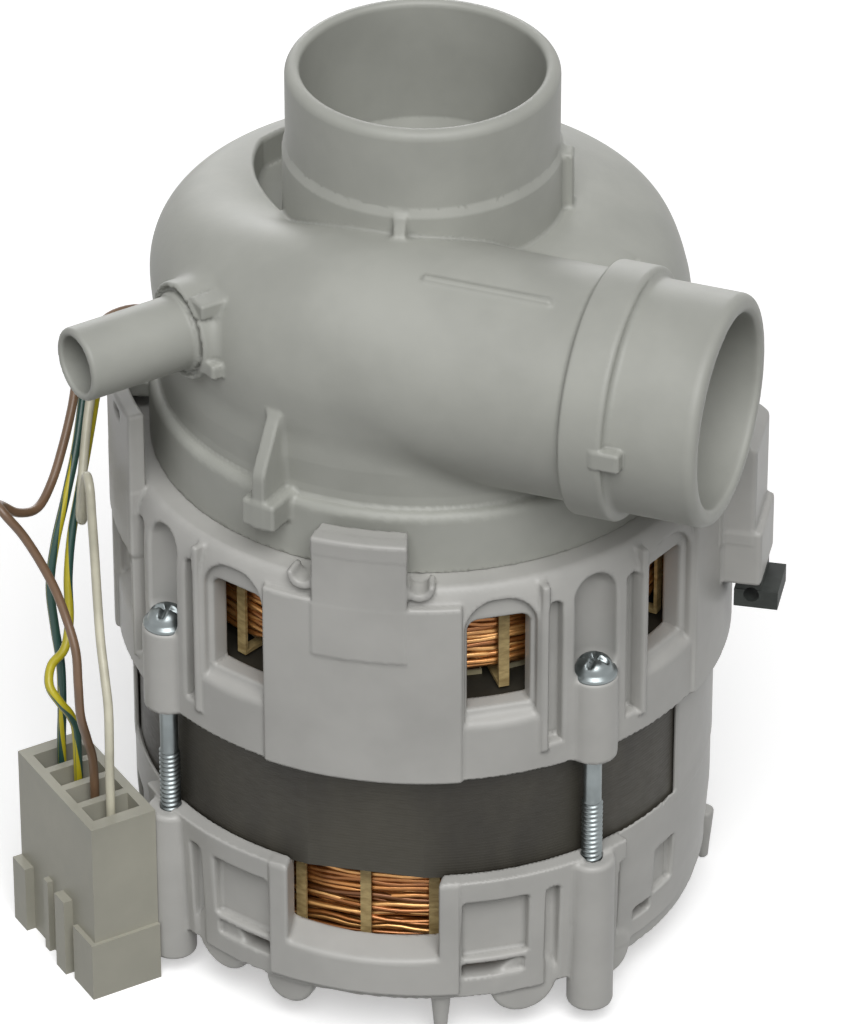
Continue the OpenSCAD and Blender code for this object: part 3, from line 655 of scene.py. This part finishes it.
def spiral_tube(x, y, z, r, tube_wall, pipe_wall, reach):
    """The spiral less a wall, which runs on as the outlet pipe for x above 0 and y below 0."""
    s = np.clip((compass(x, y) % 360 - SPIRAL_FROM) / (360 - SPIRAL_FROM), 0, 1)
    grown = s ** 6 * (7 - 6 * s)
    rho = SPIRAL_START_R + (OUTLET_R - SPIRAL_START_R) * grown
    middle = SPIRAL_WALL_R + SPIRAL_SWELL * grown - SPIRAL_TUCK * (1 - s) ** 4 - rho
    tube = np.hypot(r - middle, z - OUTLET_Z) - rho + tube_wall
    pipe = np.hypot(y - OUTLET_Y, z - OUTLET_Z) - (OUTLET_R - pipe_wall)
    whole = np.where((x >= 0) & (y < 0), pipe, tube)
    return common(whole, x - reach, 1.6)


def well(x, y, z, r, wall, turn, half):
    """The hollow between the collar and the crest of the shoulder, larger by a wall."""
    u, v = toward(x, y, turn)
    h = math.radians(half)
    wedge = np.abs(v) * math.cos(h) - u * math.sin(h)
    bowl = np.maximum(np.hypot(x - WELL_X, y - WELL_Y) - WELL_R - wall, r - WELL_WITHIN_R - wall)
    return common(common(bowl, wedge, 2), WELL_FLOOR - wall - z, 0.8)


def with_spigot(skin, along, across, high):
    saddle = rod(across, high, along, SADDLE_R, 30, SADDLE_END, 0.6)
    groove = cut(rod(across, high, along, 6.7, 40.8, 44, 0.1), rod(across, high, along, 5.9, 30, 60, 0.1))
    skin = join(skin, cut(saddle, groove, 0.2), 1.4)
    for aside, up in SPIGOT_LUGS:
        lug = block(along, across - aside, high - up, (34, -1.7, -1.2), (41.2, 1.7, 1.2), 0.4)
        skin = join(skin, lug, 0.6)
    return join(skin, rod(across, high, along, SPIGOT_R, 30, SPIGOT_END, 0.7), 0.7)


def spigot_hole(along, across, high):
    return join(rod(across, high, along, 3.2, 31, 43, 0.1), rod(across, high, along, 4.25, 42, 70, 0.1))


def with_outlet_ring(skin, x, y, z):
    skin = join(skin, rod(y - OUTLET_Y, z - OUTLET_Z, x, OUTLET_RING_R, 35.2, 41.7, 0.6), 1.0)
    return join(skin, block(x, y, z, (40, -42.2, 108.2), (44.6, -39, 111.4), 0.5), 0.4)


def gusset(x, y, z):
    along, across = toward(x, y, GUSSET_TURN)
    slope = slant(along, z, (44.8, 97), (0.88, 0.475))
    fin = common(block(along, across, z, (36, -1.1, 88), (44.8, 1.1, 105.5), 0.4), slope, 0.5)
    return join(fin, block(along, across, z, (38, -2.8, 88), (45, 2.8, 92.6), 0.6), 0.7)


def with_collar_ribs(skin, x, y, z):
    along, across = toward(x, y, SIDE_RIB_TURN)
    skin = join(skin, block(along, across, z, (18.8, -1.6, 119), (22, 1.6, 130), 0.4), 0.7)
    along, across = toward(x, y, FRONT_RIB_TURN)
    rib = block(along, across, z, (19, -0.9, 119.6), (24, 0.9, 129.8), 0.35)
    return join(skin, common(rib, slant(along, z, (24, 121.8), (0.9285, 0.3714)), 0.4), 0.8)


def catches(x, y, z, r):
    """The ledges that the four hook tabs grip."""
    from_tab = np.abs((compass(x, y) - MOTOR_TURN + 45) % 90 - 45)
    return common(ring_band(r, z, 39, 44.2, 84.5, 87.2, 0.3), (from_tab - 8) * SIDE_DEGREE, 0.3)


def chamber(x, y, z, r):
    """The water's room, round the suction neck and under the hollow in the shoulder."""
    pipe_wall = OUTLET_R - OUTLET_BORE_R
    room = join(HOUSING_CHAMBER(r, z), spiral_tube(x, y, z, r, HOUSING_WALL, pipe_wall, 70), 0.5)
    room = cut(room, HOUSING_NECK(r, z), 0.5)
    return cut(room, well(x, y, z, r, HOUSING_WALL, *WELL_WALL), 0.5)


def pump_housing(x, y, z):
    r = np.hypot(x, y)
    spigot = *toward(x, y, SPIGOT_TURN), z - SPIGOT_Z
    skin = join(HOUSING_DOME(r, z), spiral_tube(x, y, z, r, 0, 0, OUTLET_END), 1.6)
    skin = with_spigot(skin, *spigot)
    skin = with_outlet_ring(skin, x, y, z)
    skin = join(skin, gusset(x, y, z), 0.9)
    ridge = block(x, y - OUTLET_Y, z, (10.6, -6.1, OUTLET_Z), (30, -5.1, OUTLET_Z + 16.6), 0.4)
    skin = join(skin, ridge, 0.7)
    skin = cut(skin, well(x, y, z, r, 0, *WELL), 0.7)
    skin = join(skin, HOUSING_COLLAR(r, z), 0.7)
    skin = with_collar_ribs(skin, x, y, z)
    skin = join(skin, catches(x, y, z, r), 0.3)
    skin = cut(skin, chamber(x, y, z, r), 0.9)
    skin = cut(skin, HOUSING_SUCTION(r, z), 0.9)
    return cut(skin, spigot_hole(*spigot), 0.6)


# Brackets of the motor. Turns and half widths are in degrees from a hook tab.

SCREW_TURN = 45
WINDOW_TURN, GROOVE_TURN, RIB_TURN, LIP_TURN = 26, 36.4, 34.2, 10.9
UPPER_PLATE_HALF, TAB_HALF, WALL_HALF = 18.6, 8.7, 13
TAB_R, TAB_TOP = 46.8, 90.5
STATOR_R, BEARING_ROOM_R, SHAFT_ROOM_R = 43.3, 13, 5.5
LEADS_TURN, LEADS_HALF = -92.4, 6
LOWER_PLATE_HALF, SIDE_HALF, POST_HALF = 18.3, 37.6, 19
LOBES = (31.5, 9, 5.2), (-31.5, 10.2, 5.2), (-15.5, 7.6, 3.8)
PEG_TURN, PEG_R = 15, 43.4


def quarter(x, y):
    """Places by the nearest hook tab, folded so that one half quarter serves all eight."""
    angle = compass(x, y) - MOTOR_TURN
    folded = (angle + 45) % 90 - 45
    sideways = np.floor((angle + 45) / 90) % 2 > 0.5
    r = np.hypot(x, y)

    def at(turn, fold=True):
        t = np.radians((np.abs(folded) if fold else folded) - turn)
        return r * np.cos(t), r * np.sin(t)
    return r, np.abs(folded), at, sideways


def arched(across, z, half, low, high, bend):
    """A doorway shape: straight below, with round upper corners."""
    u, w = np.abs(across) - (half - bend), z - (high - bend)
    return np.maximum(crossed(u, w, bend), low - z)


def with_windows(body, at, z):
    """The windows, each in a recess with a sloped sill, and the groove beside each."""
    u, v = at(WINDOW_TURN)
    recess = common(arched(v, z, 5.4, 50, 79.4, 4.8), 44.2 - u, 0.6)
    recess = common(recess, -slant(z, u, (60.2, 43), (0.84, 0.54)), 0.6)
    body = cut(body, recess, 0.7)
    body = cut(body, common(arched(v, z, 4.7, 60.3, 75.8, 1.6), np.abs(u - 45) - 9, 0.3), 0.6)
    u, v = at(GROOVE_TURN)
    return cut(body, common(arched(v, z, 1.15, 53, 77.5, 1.1), 43.9 - u, 0.3), 0.6)


def with_tabs(body, r, rel, z):
    beside = (rel - TAB_HALF) * RIM_DEGREE
    tab = common(ring_band(r, z, 44.4, TAB_R, 70, TAB_TOP, 0.5), beside, 0.4)
    hook = common(ring_band(r, z, 42.2, TAB_R, 87.4, TAB_TOP, 0.5), beside, 0.4)
    return join(body, join(tab, hook, 0.3), 0.4)


def with_lips(body, x, y, z, at):
    """The half-round lips beside the tabs, with a hole in each, but none beside the leads."""
    u, v = at(LIP_TURN)
    beside_leads = np.abs((compass(x, y) - LEADS_TURN + 180) % 360 - 180) < LEADS_HALF
    lip = common(rod(v, z - 82.9, u, 2.3, 42.6, 46.2, 0.5), z - 83.4, 0.4)
    body = join(body, np.where(beside_leads, FAR, lip), 0.6)
    hole = rod(v, z - 83.2, u, 1.3, 40, 50, 0.1)
    return cut(body, np.where(beside_leads, FAR, hole), 0.5)


def side_wall(x, y, z, r):
    along, across = toward(x, y, WALL_TURN)
    turn = np.degrees(np.arctan2(across, along))
    wall = ring_band(r, z, 44.2, TAB_R, 70, 94.5, 0.5)
    return common(wall, (abs(turn) - WALL_HALF) * RIM_DEGREE, 0.5)


def stepped_arm(along, across, z):
    step = block(along, across, z, (45, -5.9, 70), (51.2, 5.9, 88.2), 0.6)
    step = common(step, slant(along, z, (51.2, 86.6), (0.63, 0.77)), 0.4)
    return join(block(along, across, z, (45, -6, 63), (52.3, 6, 72.6), 0.7), step, 0.5)


UPPER_SKIN = turned([(6, 77.5), (41, 77.5), (41, STATOR_HIGH), (43.3, STATOR_HIGH), (43.3, 48.9),
    (46, 48.9)] + arc(43.5, 73.5, 2.5, DECK_Z - 73.5, 0, 90, 12) + [(33, DECK_Z), (33, 80), (6, 80)])


def upper_bracket(x, y, z):
    r, rel, at, _ = quarter(x, y)
    out, aside = at(SCREW_TURN)
    screw = out - SCREW_R, aside, z
    arm = toward(x, y, BUFFER_TURN)
    plate = ring_band(r, z, 43.6, 46.6, 48.7, 79.6, 0.5)
    plate = common(plate, (rel - UPPER_PLATE_HALF) * RIM_DEGREE, 0.5)
    rib = ring_band(r, z, 43, 46.7, 52, 81.2, 0.5)
    rib = common(rib, (np.abs(rel - RIB_TURN) - 0.75) * RIM_DEGREE, 0.5)
    body = join(join(UPPER_SKIN(r, z), plate, 0.5), rib, 0.6)
    body = with_windows(body, at, z)
    body = cut(body, rod(out - SCREW_R - 0.2, aside, z, 3.6, 61.8, 79.7, 3.4), 0.7)
    body = with_tabs(body, r, rel, z)
    body = with_lips(body, x, y, z, at)
    body = join(body, rod(*screw, 3.6, 48.4, 62.8, 0.6), 0.8)
    body = join(body, rod(x, y, z, 15, 66, 78, 0.3), 0.6)
    body = join(body, side_wall(x, y, z, r), 0.5)
    body = join(body, stepped_arm(*arm, z), 0.6)
    body = cut(body, rod(x, y, z, STATOR_R, 30, STATOR_HIGH, 0.1), 0.2)
    body = cut(body, rod(*screw, 1.75, 30, 70, 0.1), 0.2)
    room = join(rod(x, y, z, BEARING_ROOM_R, 50, 75, 0.1), rod(x, y, z, SHAFT_ROOM_R, 70, 100, 0.1), 0.2)
    body = cut(body, room, 0.3)
    for_grommet = block(*toward(x, y, GROMMET_TURN), z, (40.8, -2.3, 74), (45.2, 2.3, 86), 0.1)
    body = cut(body, for_grommet, 0.2)
    notch = block(*toward(x, y, WALL_TURN + 6), z, (43, -1.6, 91.5), (50, 1.6, 93), 0.3)
    body = cut(body, notch, 0.3)
    body = cut(body, rod(arm[0] - BUFFER_R, arm[1], z, 1.7, 60, 68, 0.1), 0.2)
    return cut(body, block(*arm, z, (46.4, -4.6, 80), (49.4, 4.6, 100), 0.4), 0.4)


LOWER_SKIN = turned([(0, 8.4), (45, 8.4), (46, STATOR_LOW), (46, 30.2), (41.2, 30.2), (41.2, 11), (0, 11)])
LOWER_SIDE = turned([(40.4, 6), (42.5, 6), (43.5, 14), (43.9, 20), (43.9, 30.1), (40.4, 30.1)])


def front_wall(body, x, y, z, r, rel, at):
    """The lower bracket's wall at the front and the back: plate, wide window, pockets and grooves."""
    panel = ring_band(r, z, 43.6, 46.3, 9.6, 30.2, 0.6)
    wall = join(body, common(panel, (rel - LOWER_PLATE_HALF) * RIM_DEGREE, 0.5), 0.4)
    along, across = toward(x, y, MOTOR_TURN)
    mouth = common(block(np.abs(along), across, z, (38, -11.4, 10), (60, 11.4, 40), 0.8),
        18.8 - (np.abs(along) - 38) / 3 - z, 0.7)
    wall = cut(wall, mouth, 0.7)
    u, v = at(25.3)
    wall = cut(wall, block(u, v, z, (43.6, -5, 15.6), (60, 5, 26.2), 0.6), 0.6)
    wall = cut(wall, block(u, v, z, (38, -5, 12), (60, 4.6, 14.6), 0.5), 0.4)
    u, v = at(36.6)
    return cut(wall, block(u, v, z, (43.8, -1.1, 7), (60, 1.1, 26.5), 0.7), 0.5)


def drawn_in_wall(body, z, r, rel, at):
    """The lower bracket's wall at its two sides."""
    wall = cut(body, np.maximum((rel - 37) * SIDE_DEGREE, 43.2 - r), 0.3)
    wall = join(wall, common(LOWER_SIDE(r, z), (rel - SIDE_HALF) * SIDE_DEGREE, 0.3), 0.3)
    u, v = at(22.4)
    wall = cut(wall, block(u, v, z, (42.3, -2.6, 14.2), (60, 2.6, 22.4), 0.5), 0.5)
    u, v = at(29)
    wall = cut(wall, block(u, v, z, (38, -2, 11.6), (60, 2, 13.8), 0.4), 0.4)
    u, v = at(37.4)
    return cut(wall, block(u, v, z, (42.5, -0.9, 5), (60, 0.9, 26.5), 0.4), 0.4)


def lobes(at, z):
    """The round lobes at the foot of the front and back walls, with a square root on the last."""
    made = FAR
    for turn, height, radius in LOBES:
        u, v = at(turn, fold=False)
        made = join(made, rod(v, z - height, u, radius, 41.6, 44.4, 0.6))
    return join(made, block(u, v, z, (41.6, -3.1, 7.6), (44.4, 3.1, 11.6), 0.5), 0.5)


def lower_bracket(x, y, z):
    r, rel, at, sideways = quarter(x, y)
    out, aside = at(SCREW_TURN)
    screw = out - SCREW_R, aside, z
    body = LOWER_SKIN(r, z)
    body = np.where(sideways, drawn_in_wall(body, z, r, rel, at), front_wall(body, x, y, z, r, rel, at))
    u, v = at(22.5)
    turn = np.degrees(np.arctan2(v, u))
    vent = common(ring_band(r, z, 18, 37, 7, 12, 0.4), (abs(turn) - 15) * 0.5, 0.4)
    body = cut(body, vent, 0.4)
    body = join(body, rod(*screw, 3.5, 3, 29.7, 0.7), 0.7)
    post = ring_band(r, z, 41.6, 44.05, 28.5, 48.5, 0.4)
    post = common(post, (rel - POST_HALF) * SIDE_DEGREE, 0.5)
    body = join(body, np.where(sideways, post, FAR), 0.3)
    u, v = at(-37.6, fold=False)
    side_lobe = rod(v, z - 7.6, u, 3.8, 40.6, 43.3, 0.6)
    body = join(body, np.where(sideways, side_lobe, lobes(at, z)), 0.9)
    u, v = at(PEG_TURN, fold=False)
    peg = np.hypot(u - PEG_R, v) - (0.8 + z * 0.089)
    body = join(body, common(peg, np.maximum(-z, z - 9), 0.4), 0.4)
    cup = common(rod(x, y, z, 15, 0, 19, 0.3), r - 13.5 - z, 0.4)
    body = join(body, cup, 0.6)
    along, across = toward(x, y, MOTOR_TURN)
    flats = np.maximum(np.abs(along), np.abs(across)) - 42.5
    body = cut(body, np.maximum(np.maximum(r - 43.4, flats), STATOR_LOW - z), 0.2)
    room = join(rod(x, y, z, BEARING_ROOM_R, 10, 30, 0.1), rod(x, y, z, SHAFT_ROOM_R, 3, 14, 0.1), 0.1)
    body = cut(body, room, 0.3)
    return cut(body, rod(*screw, 1.62, 5, 40, 0.1), 0.2)


COARSE = 0.5
moulded("pump_housing_skin", pump_housing, (-48, -53, 80), (57.5, 43, 145), grey_housing,
    "grey_housing", "pump_housing")
moulded("upper_bracket_skin", upper_bracket, (-48.5, -48.5, 47), (54, 49, 96), white_bracket,
    "white_bracket", "upper_bracket")
moulded("lower_bracket_skin", lower_bracket, (-50.5, -50.5, -1.5), (50.5, 50.5, 50), white_bracket,
    "white_bracket", "lower_bracket")


# Motor screws, from the tip up

SCREW_SIDES = 40
TIP = [(1.0, 6.0), (1.5, 6.6)]
SHANK_R, SHANK_TOP = 1.36, 62.6
SCREW_HEAD = [(3.4, 62.7), (3.45, 63), (3.3, 63.35), (2.85, 63.5), (2.75, 63.9), (2.6, 64.4),
    (2.3, 64.9), (1.9, 65.25), (1.5, 65.45), (1.1, 65.6), (0.8, 65.66), (0.5, 65.7), (0.25, 65.7)]
CROSS_R, CROSS_FROM, CROSS_DEEP, CROSS_HALF = 2, 64.8, 0.8, 0.5
THREAD_LOW, THREAD_HIGH, THREAD_PITCH, THREAD_RINGS = 28, 40, 0.8, 110
THREAD_R, THREAD_DEEP = 1.45, 0.15


def screw_rings():
    """The height, the radius and the thread's depth of each ring."""
    rings = [(z, r, 0) for r, z in TIP]
    for k in range(THREAD_RINGS + 1):
        rings.append((THREAD_LOW + (THREAD_HIGH - THREAD_LOW) * k / THREAD_RINGS, THREAD_R, THREAD_DEEP))
    rings += [(THREAD_HIGH + 0.2, SHANK_R, 0), (SHANK_TOP, SHANK_R, 0)]
    return rings + [(z, r, 0) for r, z in SCREW_HEAD]


def motor_screws():
    points, faces = [], []
    n = SCREW_SIDES
    rings = screw_rings()
    for k in range(4):
        turn = math.radians(MOTOR_TURN + SCREW_TURN + 90 * k)
        centre = Vector((SCREW_R * math.sin(turn), -SCREW_R * math.cos(turn), 0))
        base = len(points)
        for z, radius, thread in rings:
            for j in range(n):
                t = j / n
                r = radius + thread * math.sin(2 * math.pi * (z / THREAD_PITCH - t))
                x, y = r * math.cos(2 * math.pi * t), r * math.sin(2 * math.pi * t)
                near = min(abs(x), abs(y)) / CROSS_HALF
                in_cross = z > CROSS_FROM and r < CROSS_R
                deep = CROSS_DEEP * max(0, 1 - near ** 3) if in_cross else 0
                points.append((centre + Vector((x, y, z - deep))) * MM)
        for i in range(len(rings) - 1):
            a, b = base + i * n, base + (i + 1) * n
            faces += [(a + j, a + (j + 1) % n, b + (j + 1) % n, b + j) for j in range(n)]
        last = base + (len(rings) - 1) * n
        faces += [tuple(base + j for j in range(n - 1, -1, -1)), tuple(last + j for j in range(n))]
    piece("motor_screw_set", points, faces, zinc_steel, "zinc_steel", "motor_screws")


motor_screws()


# Winding heads

WIRE_R, WIRE_SIDES, WIRE_STEPS = 0.46, 6, 120
HEAD_INNER, HEAD_OUTER = 26.6, 38.1
LAYER_WIRES, LAYER_DEEP, END_WIRES = 14, 0.9, 12
WAVES_ROUND, WAVE_RISE, WAVE_SWELL = (3, 5, 8, 13, 24), 0.55, 0.25
# The core's tint lies at the dark end of the copper ramp: painted shade in the gaps between the wires.
CORE_INNER, CORE_OUTER, CORE_STEPS, CORE_SHADE_TINT = 26, 36.8, 96, 0.05


def round_shaft(radius, angle, height):
    return Vector((radius * math.sin(angle), -radius * math.cos(angle), height)) * MM


def strand_paths(near, end, rng):
    """Wires that run round a winding head, each wandering a little in height and radius."""
    long, wide = end - near, HEAD_OUTER - HEAD_INNER
    layers = [(HEAD_OUTER, near + long * (k + 0.5) / LAYER_WIRES) for k in range(LAYER_WIRES)]
    layers += [(HEAD_OUTER - LAYER_DEEP, near + long * (k + 0.2) / (LAYER_WIRES - 1))
        for k in range(LAYER_WIRES)]
    layers += [(HEAD_INNER + wide * (k + 0.5) / END_WIRES, end) for k in range(END_WIRES)]
    paths = []
    for radius, height in layers:
        waves = [(rng.uniform(0.1, 0.45), n, rng.uniform(0, 6.28)) for n in WAVES_ROUND]
        path = []
        for i in range(WIRE_STEPS):
            t = 2 * math.pi * i / WIRE_STEPS
            rise = sum(a * math.sin(n * t + p) for a, n, p in waves) * WAVE_RISE
            swell = sum(a * math.cos(n * t - p) for a, n, p in waves) * WAVE_SWELL
            path.append(round_shaft(radius + swell - 0.3, t, height + rise))
        paths.append((path, rng.random()))
    return paths


def winding_head(name, near, end, seed, node):
    """A plain core and the wires round it, from the height near the stator to the far end."""
    points, faces, tints = [], [], []
    for path, tint in strand_paths(near, end, random.Random(seed)):
        wire, sides, _, _ = swept(path, WIRE_R * MM, WIRE_SIDES, closed=True)
        faces += [tuple(i + len(points) for i in face) for face in sides]
        points += wire
        tints += [tint] * len(wire)
    up = end > near
    foot = near - 0.6 if up else near + 0.6
    ring = [(CORE_INNER, foot), (CORE_INNER, end), (CORE_OUTER, end), (CORE_OUTER, foot)]
    base = len(points)
    for i in range(CORE_STEPS):
        points += [round_shaft(radius, 2 * math.pi * i / CORE_STEPS, height) for radius, height in ring]
        # Painted shade: the core takes a dark copper tint, so the gaps between the wires look dark.
        tints += [CORE_SHADE_TINT] * 4
    for i in range(CORE_STEPS):
        a, b = base + 4 * i, base + 4 * ((i + 1) % CORE_STEPS)
        side = [(a + k, a + (k + 1) % 4, b + (k + 1) % 4, b + k) for k in range(4)]
        faces += side if up else [face[::-1] for face in side]
    made = piece(name, points, faces, copper, "enamelled_copper", node)
    add_attribute(made, "strand", tints)


winding_head("upper_winding_wires", near=63.2, end=73.4, seed=4, node="upper_winding")
winding_head("lower_winding_wires", near=27.3, end=14.6, seed=9, node="lower_winding")


# Finishes of the CAD's own pieces

for finish, names in (
    (black_rubber, "housing_seal_ring seal_bellows seal_seat_cup shaft_slinger lead_grommet mounting_buffer"),
    (impeller_plastic, "impeller impeller_shroud back_plate"),
    (brass, "impeller_insert plug_terminals"),
    (carbon, "seal_face"),
    (spring_steel, "seal_spring upper_bearing_clip lower_bearing_clip"),
    (ceramic, "seal_seat"),
    (bronze, "upper_bearing lower_bearing"),
    (felt, "upper_felt_ring lower_felt_ring"),
    (lamination_steel, "stator_core rotor_core"),
    (slot_paper, "slot_liners"),
    (copper, "slot_windings"),
    (lacing, "upper_lacing lower_lacing"),
    (cast_aluminium, "rotor_cage"),
    (ground_steel, "rotor_shaft rotor_spacers"),
    (fibre, "thrust_washers"),
    (plug_plastic, "plug_housing"),
):
    finish.give(*[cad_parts[name] for name in names.split()])


# Floor, backdrop and light

FLOOR_HALF = 3
FLOOR_PALE = (0.84, 0.84, 0.84), (0.88, 0.88, 0.88)
FLOOR_DIM, FLOOR_GLOW = (0.14, 0.14, 0.135), 0.42
BLACK, WHITE = (0, 0, 0), (1, 1, 1)


def stage_floor():
    """A floor that looks white, and throws little light on the pieces."""
    mesh = bpy.data.meshes.new("floor")
    corners = [(-1, -1), (1, -1), (1, 1), (-1, 1)]
    mesh.from_pydata([(a * FLOOR_HALF, b * FLOOR_HALF, 0) for a, b in corners], [], [(0, 1, 2, 3)])
    floor = bpy.data.objects.new("floor", mesh)
    bpy.context.scene.collection.objects.link(floor)
    f = Finish("floor", 0.95, Emission_Strength=FLOOR_GLOW)
    seen = f.seen()
    f.feed("Base Color", f.mix(seen, FLOOR_DIM, f.mix(f.noise(3, 2), *FLOOR_PALE)))
    f.feed("Emission Color", f.mix(seen, BLACK, WHITE))
    f.give(floor)


def sun(name, turn, rise, strength, width):
    """Light from a compass angle and a height, as wide as a disc of so many degrees."""
    light = bpy.data.lights.new(name, "SUN")
    light.energy, light.angle = strength, math.radians(width)
    made = bpy.data.objects.new(name, light)
    bpy.context.scene.collection.objects.link(made)
    aim(made, outward(turn, rise))


def world_light(strength):
    """A world that looks white and lights the pieces at a lower strength."""
    world = bpy.data.worlds.new("world")
    bpy.context.scene.world = world
    world.use_nodes = True
    sky = Nodes(world.node_tree)
    seen = sky.seen()
    background = world.node_tree.nodes["Background"]
    background.inputs["Color"].default_value = (1, 1, 1, 1)
    world.node_tree.links.new((seen * (1 - strength) + strength).socket, background.inputs["Strength"])


stage_floor()
sun("key", turn=26, rise=52, strength=2.35, width=42)
sun("back", turn=205, rise=6, strength=0.8, width=30)
world_light(0.18)
bpy.context.scene.view_settings.view_transform = "Standard"
